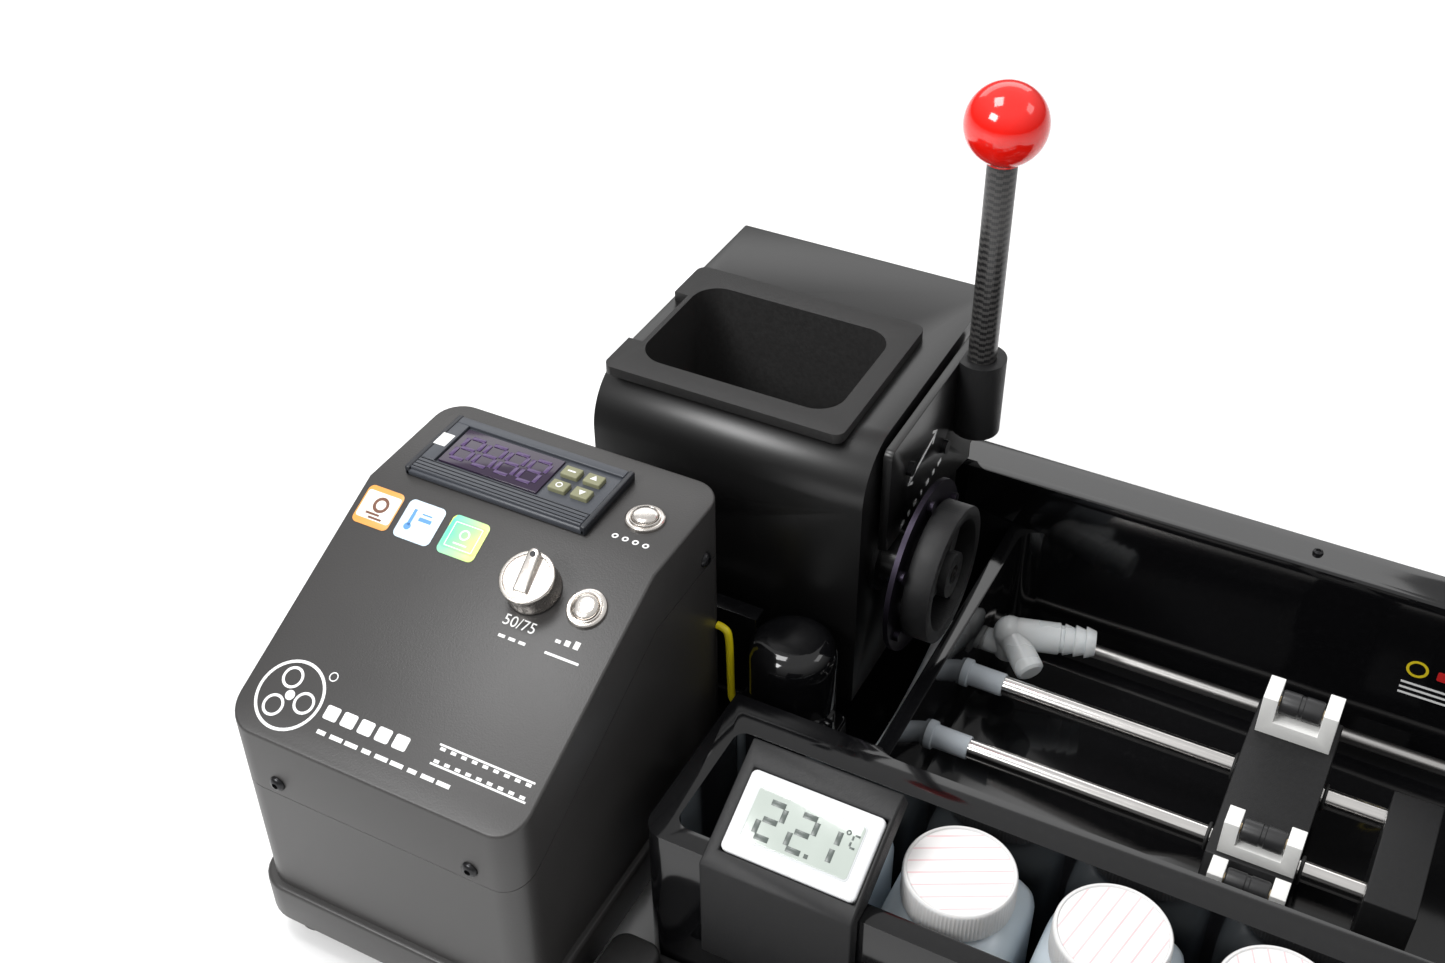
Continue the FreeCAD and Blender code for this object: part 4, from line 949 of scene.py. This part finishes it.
def stickers():
    """Three small labels with plain pictures: a turning ring, a thermometer and a framed card."""
    brown = plain("sticker_brown", (0.16, 0.06, 0.03), 0.4)
    orange = plain("sticker_orange", (0.82, 0.36, 0.08), 0.32)
    cream = sticker("sticker_cream", (0.90, 0.88, 0.84), (0.84, 0.78, 0.70), 0.4)
    pale_blue = sticker("sticker_pale_blue", (0.60, 0.78, 0.92), (0.86, 0.93, 0.95), 1.2)
    blue_edge = plain("sticker_blue_edge", (0.66, 0.80, 0.92), 0.32)
    blue = plain("sticker_blue", (0.10, 0.30, 0.66), 0.4)
    lime = sticker("sticker_lime", (0.10, 0.66, 0.48), (0.66, 0.80, 0.10), 0.2)
    lime_edge = sticker("sticker_lime_edge", (0.16, 0.70, 0.52), (0.72, 0.84, 0.16), 0.2)
    arc = [thin_ring(0.0034, 0.0021, (0.0006, 0.0012)),
           thin_block((-0.0040, -0.0036), (0.0022, -0.0027)),
           thin_block((-0.0020, -0.0052), (0.0040, -0.0043))]
    sticker_piece("sticker_1", -0.2396, cream, orange, [(brown, arc)])
    stem = [thin_ring(0.0015, 0.0, (-0.0040, -0.0030)), thin_block((-0.0047, -0.0026), (-0.0033, 0.0046)),
            thin_block((-0.0010, 0.0004), (0.0046, 0.0020)), thin_block((-0.0006, 0.0032), (0.0038, 0.0038))]
    sticker_piece("sticker_2", -0.2219, pale_blue, blue_edge, [(blue, stem)])
    lines = [thin_block((-0.0060, 0.0052), (0.0060, 0.0056)),
             thin_block((-0.0060, -0.0050), (0.0060, -0.0046)),
             thin_block((-0.0062, -0.0048), (-0.0058, 0.0054)),
             thin_block((0.0058, -0.0048), (0.0062, 0.0054)),
             thin_ring(0.0022, 0.0015, (0.0, 0.0012)),
             thin_block((-0.0030, -0.0032), (0.0030, -0.0026))]
    sticker_piece("sticker_3", -0.2035, lime, lime_edge, [(PAINT_WHITE, lines)])


controller()
keys()
bezels = []
button_top = Matrix.Translation((-0.1499, -0.0329, cover_high.z))
push_button("pump", button_top, "pump_switch", "pump_button", bezels)
push_button("low_speed", slope_frame(-0.1491, 0.0192), "low_speed_switch", "low_speed_button", bezels)
finish(join("button_rings", bezels), "base", NICKEL, "bright_metal", "button_bezels")
speed_knob()
panel_marks()
stickers()
dress(ALUMINIUM, "power_supply", "drive_motor", "pivot_brackets")
dress(BOARD, "control_circuit_board")
dress(PRINT, "power_inlet")
dress(RUBBER, "rubber_feet", "drive_belt")


# ---------------------------------------------------------------- trough

GUIDE_BACKS = (0.062, 0.024)
GUIDE_HEIGHT = 0.034
WEIR_FACE = -0.0602
ALONG_RODS = Matrix.Rotation(math.radians(90.0), 4, "Y")


def rod_sleeves():
    """Milky sleeves at the left ends of the two guide rods."""
    sleeves = []
    for back in GUIDE_BACKS:
        sleeves.append(turned("rod_sleeve", [
            (0.0041, 0.0), (0.0056, 0.0), (0.0058, 0.0003), (0.0058, 0.0030), (0.0048, 0.0034),
            (0.0047, 0.0040), (0.0047, 0.0172), (0.0045, 0.0176), (0.0041, 0.0176)],
            Matrix.Translation((WEIR_FACE, back, GUIDE_HEIGHT)) @ ALONG_RODS, 48))
    finish(join("guide_rod_sleeves", sleeves), "base", SLEEVE, "white_plastic")


def trough():
    rod_sleeves()
    tub = from_node("tub", 0.0012, 3)
    finish(tub, "base", GLOSS, "gloss_black", "tub")
    plinth = from_node("base_plinth", 0.002, 3)
    finish(plinth, "base", PRINT_GREY, "printed_black", "base_plinth")
    finish(from_node("rod_end_block", 0.0012, 3), "base", PRINT, "printed_black", "rod_end_block")
    dress(STEEL, "rod_rear", "rod_front", "pivot_pin", "drive_shaft")
    dress(DULL_STEEL, "heater_element")
    dress(MILKY, "pump_hose")


def carriage():
    for node, material, slot in (("roller_block", PRINT, "printed_black"),
                                 ("roller_brackets", WHITE, "white_plastic")):
        finish(from_node(node, 0.0009, 3), "roller_carriage", material, slot, node)
    for node, body in (("roller_rear", "rear_roller"), ("roller_middle", "middle_roller"),
                       ("roller_front", "front_roller")):
        low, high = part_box(node)
        centre = (low + high) / 2
        radius = (high.z - low.z) / 2
        half = (high.x - low.x) / 2
        place = Matrix.Translation(centre) @ ALONG_RODS
        roller = turned(node + "_turned", [
            (0.0017, -half), (radius * 0.86, -half), (radius * 0.97, -half * 0.94), (radius, -half * 0.86),
            (radius, -0.0010), (radius * 0.93, -0.0006), (radius * 0.93, 0.0006), (radius, 0.0010),
            (radius, half * 0.86), (radius * 0.97, half * 0.94), (radius * 0.86, half),
            (0.0017, half)], place, 48)
        finish(roller, body, ROLLER, "rubber_black", node)
        collars = []
        for side in (-1, 1):
            start = centre + Vector((side * (half + 0.0001), 0, 0))
            end = start + Vector((side * 0.0004, 0, 0))
            collars.append(bar(node + "_collar", 0.0021, start, end, 0.0, 24))
        finish(join(node + "_washers", collars), "roller_carriage", BRASS, "brass_pin")
    dress(BRASS, "roller_pins")
    rings = []
    low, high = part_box("rod_rings")
    for back in GUIDE_BACKS:
        for across in (low.x + 0.001, high.x - 0.001):
            clear()
            bpy.ops.mesh.primitive_torus_add(major_radius=0.0048, minor_radius=0.0007, major_segments=40,
                                             minor_segments=12, location=(across, back, GUIDE_HEIGHT),
                                             rotation=(0, math.radians(90.0), 0))
            rings.append(settle(named("o_ring")))
    finish(smooth(join("rod_o_rings", rings)), "roller_carriage", RUBBER, "rubber_black", "rod_rings")


def pump():
    drum = turned("pump_drum", [
        (0.0, 0.0500), (0.0090, 0.0500), (0.0120, 0.0494), (0.0150, 0.0470), (0.0166, 0.0435),
        (0.0170, 0.0390), (0.0170, 0.0200), (0.0160, 0.0190), (0.0160, 0.0170), (0.0170, 0.0160),
        (0.0170, 0.0005), (0.0160, 0.0)],
        Matrix.Translation((-0.106, -0.004, 0.040)), 64)
    boss = turned("pump_boss", [
        (0.0, 0.0), (0.0060, 0.0), (0.0080, 0.0008), (0.0090, 0.0026), (0.0090, 0.0350), (0.0082, 0.0372),
        (0.0060, 0.0380), (0.0, 0.0380)],
        Matrix.Translation((-0.124, -0.014, 0.052)) @ ALONG_RODS, 48)
    foot = block("pump_foot", (-0.123, -0.021, 0.009), (-0.089, 0.013, 0.041), 0.0015, 0.004, 3)
    spout = bar("pump_spout", 0.0065, (-0.091, -0.004, 0.024), (-0.0812, -0.004, 0.024), 0.0006)
    finish(join("pump_body", [drum, boss, foot, spout]), "base", GLOSS, "gloss_black", "circulation_pump")
    cable = tube("pump_lead", [(-0.1331, -0.013, 0.092), (-0.1295, -0.013, 0.0918), (-0.1281, -0.013, 0.088),
                               (-0.1277, -0.013, 0.072), (-0.1275, -0.013, 0.060), (-0.1270, -0.013, 0.0548),
                               (-0.1240, -0.013, 0.054)], 0.0015)
    finish(cable, "base", YELLOW, "yellow_cable", "pump_cable")


def elbow():
    """A barbed hose elbow of milky plastic."""
    corner = Vector((-0.050, 0.088, 0.038))
    along = Vector((0.031, 0.009, 0.0)).normalized()
    forward = Vector((0.020, -0.018, -0.008)).normalized()
    turn = along.to_track_quat("Z", "Y").to_matrix().to_4x4()
    limb = turned("elbow_limb", [
        (0.0, 0.0347), (0.0050, 0.0347), (0.0053, 0.0344), (0.0066, 0.0306), (0.0053, 0.0304),
        (0.0053, 0.0302), (0.0066, 0.0263), (0.0053, 0.0260), (0.0053, 0.0258), (0.0066, 0.0220),
        (0.0057, 0.0216), (0.0057, 0.0205), (0.0066, 0.0200), (0.0066, 0.0), (0.0, 0.0)],
        Matrix.Translation(corner) @ turn, 48)
    clear()
    bpy.ops.mesh.primitive_uv_sphere_add(segments=40, ring_count=24, radius=0.0070, location=corner)
    knuckle = smooth(settle(named("elbow_knuckle")))
    turn = forward.to_track_quat("Z", "Y").to_matrix().to_4x4()
    branch = turned("elbow_branch", [
        (0.0, 0.0200), (0.0046, 0.0200), (0.0058, 0.0190), (0.0060, 0.0176), (0.0060, 0.0), (0.0, 0.0)],
        Matrix.Translation(corner) @ turn, 48)
    riser = bar("elbow_riser", 0.006, (-0.050, 0.088, 0.0262), (-0.050, 0.088, 0.038), 0.001)
    stub = bar("elbow_stub", 0.005, (-0.0597, 0.088, 0.030), (-0.050, 0.088, 0.030), 0.0004)
    whole = join("barbed_elbow", [limb, knuckle, branch, riser, stub])
    finish(whole, "base", MILKY, "white_plastic", "hose_elbow")


trough()
carriage()
pump()
elbow()


# ---------------------------------------------------------------- lift head

def lift_head():
    finish(from_node("lift_housing", 0.0006, 2), "lift_head", COAT, "powder_black", "lift_housing")
    finish(from_node("hopper_cup", 0.0009, 3), "hopper", PRINT_GREY, "printed_black", "hopper_cup")
    finish(from_node("lever_plate", 0.0005, 2), "lift_head", COAT, "powder_black", "lever_plate")
    finish(from_node("lever_socket", 0.0010, 3), "lift_head", PRINT, "printed_black", "lever_socket")
    finish(from_node("drive_coupling", 0.0008, 2), "drive", PRINT, "powder_black", "drive_coupling")
    dress(SCREW, "plate_screws")
    dress(DISC, "coupling_disc")
    dress(COAT, "shaft_bearings")
    dress(BRASS, "motor_pulley")
    low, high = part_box("lever_tube")
    centre = (low + high) / 2
    rod = bar("lever_carbon", (high.x - low.x) / 2, (centre.x, centre.y, low.z),
              (centre.x, centre.y, high.z), 0.0003, 64)
    finish(rod, "lift_head", carbon_weave(centre), "carbon", "lever_tube")
    clear()
    ball_low, ball_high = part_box("lever_ball")
    radius = (ball_high.x - ball_low.x) / 2
    bpy.ops.mesh.primitive_uv_sphere_add(segments=96, ring_count=64, radius=radius,
                                         location=(centre.x, centre.y, ball_high.z - radius))
    knob = settle(named("red_ball"))
    smooth(knob)
    collar = turned("ball_collar", [(0.0, 0.0), (0.0062, 0.0), (0.0066, 0.0004), (0.0066, 0.0014),
                    (0.0, 0.0014)],
                    Matrix.Translation((centre.x, centre.y, ball_low.z - 0.0004)), 48)
    finish(join("lever_ball_red", [knob, collar]), "lift_head", RED, "red_ball", "lever_ball")


def plate_strip(back, height, width, tall, lean=0.0):
    """A thin printed mark on the lever plate's outer face."""
    strip = block("plate_strip", (0.0, -width / 2, -tall / 2), (0.0001, width / 2, tall / 2), 0.0)
    place = Matrix.Translation((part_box("lever_plate")[1].x, back * MM, height * MM))
    return moved(strip, place @ Matrix.Rotation(math.radians(lean), 4, "X"))


def plate_marks():
    """A two-way arrow for the tilting head, over a row of bars."""
    marks = []
    for end, turn in ((47.5, 1.0), (73.0, -1.0)):
        for lean in (-40.0, 40.0):
            marks.append(plate_strip(end + turn * 1.6, 134.0 + (end - 47.5) * 0.25 + turn * lean * 0.035,
                                     0.0052, 0.0011, lean + 12.0))
    marks.append(plate_strip(60.2, 137.2, 0.0245, 0.0013, 14.0))
    for index, width in enumerate((3.4, 2.0, 2.8, 1.4, 2.8, 2.0, 3.4)):
        marks.append(plate_strip(44.0 + index * 5.9, 116.8 + index * 0.8, width * MM, 0.0019, 8.0))
    finish(join("plate_print", marks), "lift_head", PAINT_WHITE, "powder_black")


def wall_label():
    """A plain printed label on the inside of the rear wall: a ring, a heading bar and lines."""
    back = Matrix.Translation((0.111, 0.12575, 0.0485)) @ Matrix.Rotation(math.radians(90.0), 4, "X")
    yellow = plain("label_yellow", (0.80, 0.62, 0.02), 0.35)
    red = plain("label_red", (0.62, 0.02, 0.02), 0.35)
    ring = turned("label_ring", [(0.0042, 0.0), (0.0042, 0.0001), (0.0031, 0.0001), (0.0031, 0.0)],
                  back @ Matrix.Translation((-0.0085, 0.0045, 0.0)), 36)
    finish(ring, "base", yellow, "gloss_black")
    bar_red = block("label_heading", (-0.001, 0.0020, 0.0), (0.0130, 0.0066, 0.0001), 0.0, 0.0008)
    finish(moved(bar_red, back), "base", red, "gloss_black")
    lines = []
    for row in range(3):
        lines.append(block("label_line", (-0.0130, -0.0040 - row * 0.0028, 0.0),
                           (0.0120 - row * 0.003, -0.0030 - row * 0.0028, 0.0001), 0.0))
    finish(moved(join("label_lines", lines), back), "base", PAINT_WHITE, "gloss_black")


def rim_screw():
    """A small domed screw in the rear rim."""
    head = turned("rim_screw", [(0.0, 0.0006), (0.0008, 0.0007), (0.0010, 0.0013), (0.0019, 0.0009),
                                (0.0022, 0.0), (0.0, 0.0)], Matrix.Translation((0.0545, 0.1415, 0.0820)), 24)
    finish(head, "base", SCREW, "steel")


lift_head()
plate_marks()
wall_label()
rim_screw()


# ---------------------------------------------------------------- bottles and thermometer

def squircle(half, power, height, centre, count=96):
    """A ring between a circle and a square."""
    ring = []
    for index in range(count):
        angle = math.tau * index / count
        across, back = math.cos(angle), math.sin(angle)
        reach = half / (abs(across) ** power + abs(back) ** power) ** (1.0 / power)
        ring.append((centre.x + across * reach, centre.y + back * reach, height))
    return ring


def bottle(number):
    node = "bottle_%d" % number
    low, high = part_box(node)
    centre = (low + high) / 2
    half = (high.x - low.x) / 2
    floor = low.z
    levels = ((half - 0.004, 4.0, 0.0), (half - 0.0015, 4.6, 0.0008), (half - 0.0002, 5.2, 0.003),
              (half, 5.2, 0.0065), (half, 5.2, 0.030), (half, 5.2, 0.050), (half - 0.0004, 4.8, 0.0535),
              (half - 0.0016, 4.2, 0.0565), (half - 0.0038, 3.4, 0.0590), (0.0178, 2.5, 0.0606),
              (0.0168, 2.0, 0.0612), (0.0158, 2.0, 0.0625), (0.0158, 2.0, 0.0730),
              (0.0150, 2.0, 0.0733), (0.0142, 2.0, 0.0728), (0.0140, 2.0, 0.0600))
    rings = [squircle(reach, power, floor + height, centre) for reach, power, height in levels]
    body = loft(node + "_blown", rings)
    only(body)
    bpy.ops.object.mode_set(mode="EDIT")
    bpy.ops.mesh.select_all(action="SELECT")
    bpy.ops.mesh.normals_make_consistent(inside=False)
    bpy.ops.object.mode_set(mode="OBJECT")
    finish(body, node + "_body", BOTTLE, "bottle_plastic", node)


def bottle_cap(number, turn):
    node = "bottle_cap_%d" % number
    low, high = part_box(node)
    centre = (low + high) / 2
    radius = (high.x - low.x) / 2
    ribs = 90
    rings = []
    for height, inset, depth in ((low.z, 0.0004, 1.0), (low.z + 0.0010, 0.0, 1.0),
                                 (high.z - 0.0022, 0.0001, 1.0), (high.z - 0.0012, 0.0002, 0.3),
                                 (high.z - 0.0004, 0.0004, 0.0), (high.z, 0.0008, 0.0),
                                 (high.z, 0.0014, 0.0), (high.z - 0.0006, 0.0017, 0.0),
                                 (high.z - 0.0007, 0.0022, 0.0)):
        ring = []
        for index in range(ribs * 4):
            angle = math.tau * index / (ribs * 4)
            reach = radius - inset - depth * 0.00026 * (0.5 + 0.5 * math.cos(angle * ribs))
            ring.append((centre.x + reach * math.cos(angle), centre.y + reach * math.sin(angle), height))
        rings.append(ring)
    skirt = loft(node + "_ribbed", rings, True)
    finish(skirt, "cap_%d" % number, CAP_WHITE, "white_plastic", node)
    inner = radius - 0.0018
    disc = turned(node + "_top", [(0.0, 0.0), (inner, 0.0), (inner, -0.0004), (0.0, -0.0004)],
                  Matrix.Translation((centre.x, centre.y, high.z - 0.0006)), 64)
    finish(disc, "cap_%d" % number, striped_cap(number, centre, turn), "white_plastic")


CAP_TURNS = {2: math.radians(-62.0), 3: math.radians(-12.0), 4: math.radians(24.0)}
MODULE_TILT = math.radians(29.0)
MODULE_CORNER = Vector((-84.5, -78.2, 103.65)) * MM


def thermometer():
    place = Matrix.Translation(MODULE_CORNER) @ Matrix.Rotation(MODULE_TILT, 4, "X")
    holder = from_node("thermometer_holder", 0.0008, 3)
    finish(holder, "thermometer", PRINT, "printed_black", "thermometer_holder")
    body = block("module_case", (0.0, -0.0286, -0.0083), (0.048, 0.0, 0.0012), 0.0011, 0.0022, 4)
    finish(moved(body, place), "thermometer", MODULE_WHITE, "white_plastic", "thermometer_module")
    bezel = block("lcd_frame", (0.0044, -0.0236, 0.0011), (0.0436, -0.0044, 0.00135), 0.0001, 0.0016)
    grey = plain("lcd_frame_grey", (0.62, 0.64, 0.65), 0.4)
    finish(moved(bezel, place), "thermometer", grey, "white_plastic")
    glass = block("lcd_window", (0.0050, -0.0229, 0.0012), (0.0430, -0.0050, 0.00145), 0.0001, 0.0012)
    finish(moved(glass, place), "thermometer", lcd_glass(), "white_plastic")
    height, skew = 0.0122, 0.10
    digits = [segment_digit("lcd_first", height, 0.0019, 0.00008, skew, "abged"),
              moved(segment_digit("lcd_second", height, 0.0019, 0.00008, skew, "abged"),
                    Matrix.Translation((0.0114, 0.0, 0.0))),
              moved(segment_digit("lcd_third", height, 0.0019, 0.00008, skew, "bc"),
                    Matrix.Translation((0.0196, 0.0, 0.0)))]
    point = block("lcd_point", (0.0187, -0.0008, 0.0), (0.0201, 0.0006, 0.00008), 0.0)
    degree = turned("lcd_degree", [(0.0009, 0.0), (0.0009, 0.00008), (0.0004, 0.00008), (0.0004, 0.0)],
                    Matrix.Translation((0.0296, 0.0122, 0.0)), 20)
    unit = segment_digit("lcd_unit", 0.0042, 0.0007, 0.00008, 0.1, "afed")
    moved(unit, Matrix.Translation((0.0312, 0.0078, 0.0)))
    readout = join("lcd_readout", digits + [point, degree, unit])
    moved(readout, place @ Matrix.Translation((0.0086, -0.0206, 0.00146)))
    finish(readout, "thermometer", GREY_INK, "white_plastic")


for number in range(1, 5):
    bottle(number)
for number in range(2, 5):
    bottle_cap(number, CAP_TURNS[number])
thermometer()
stage()
camera()
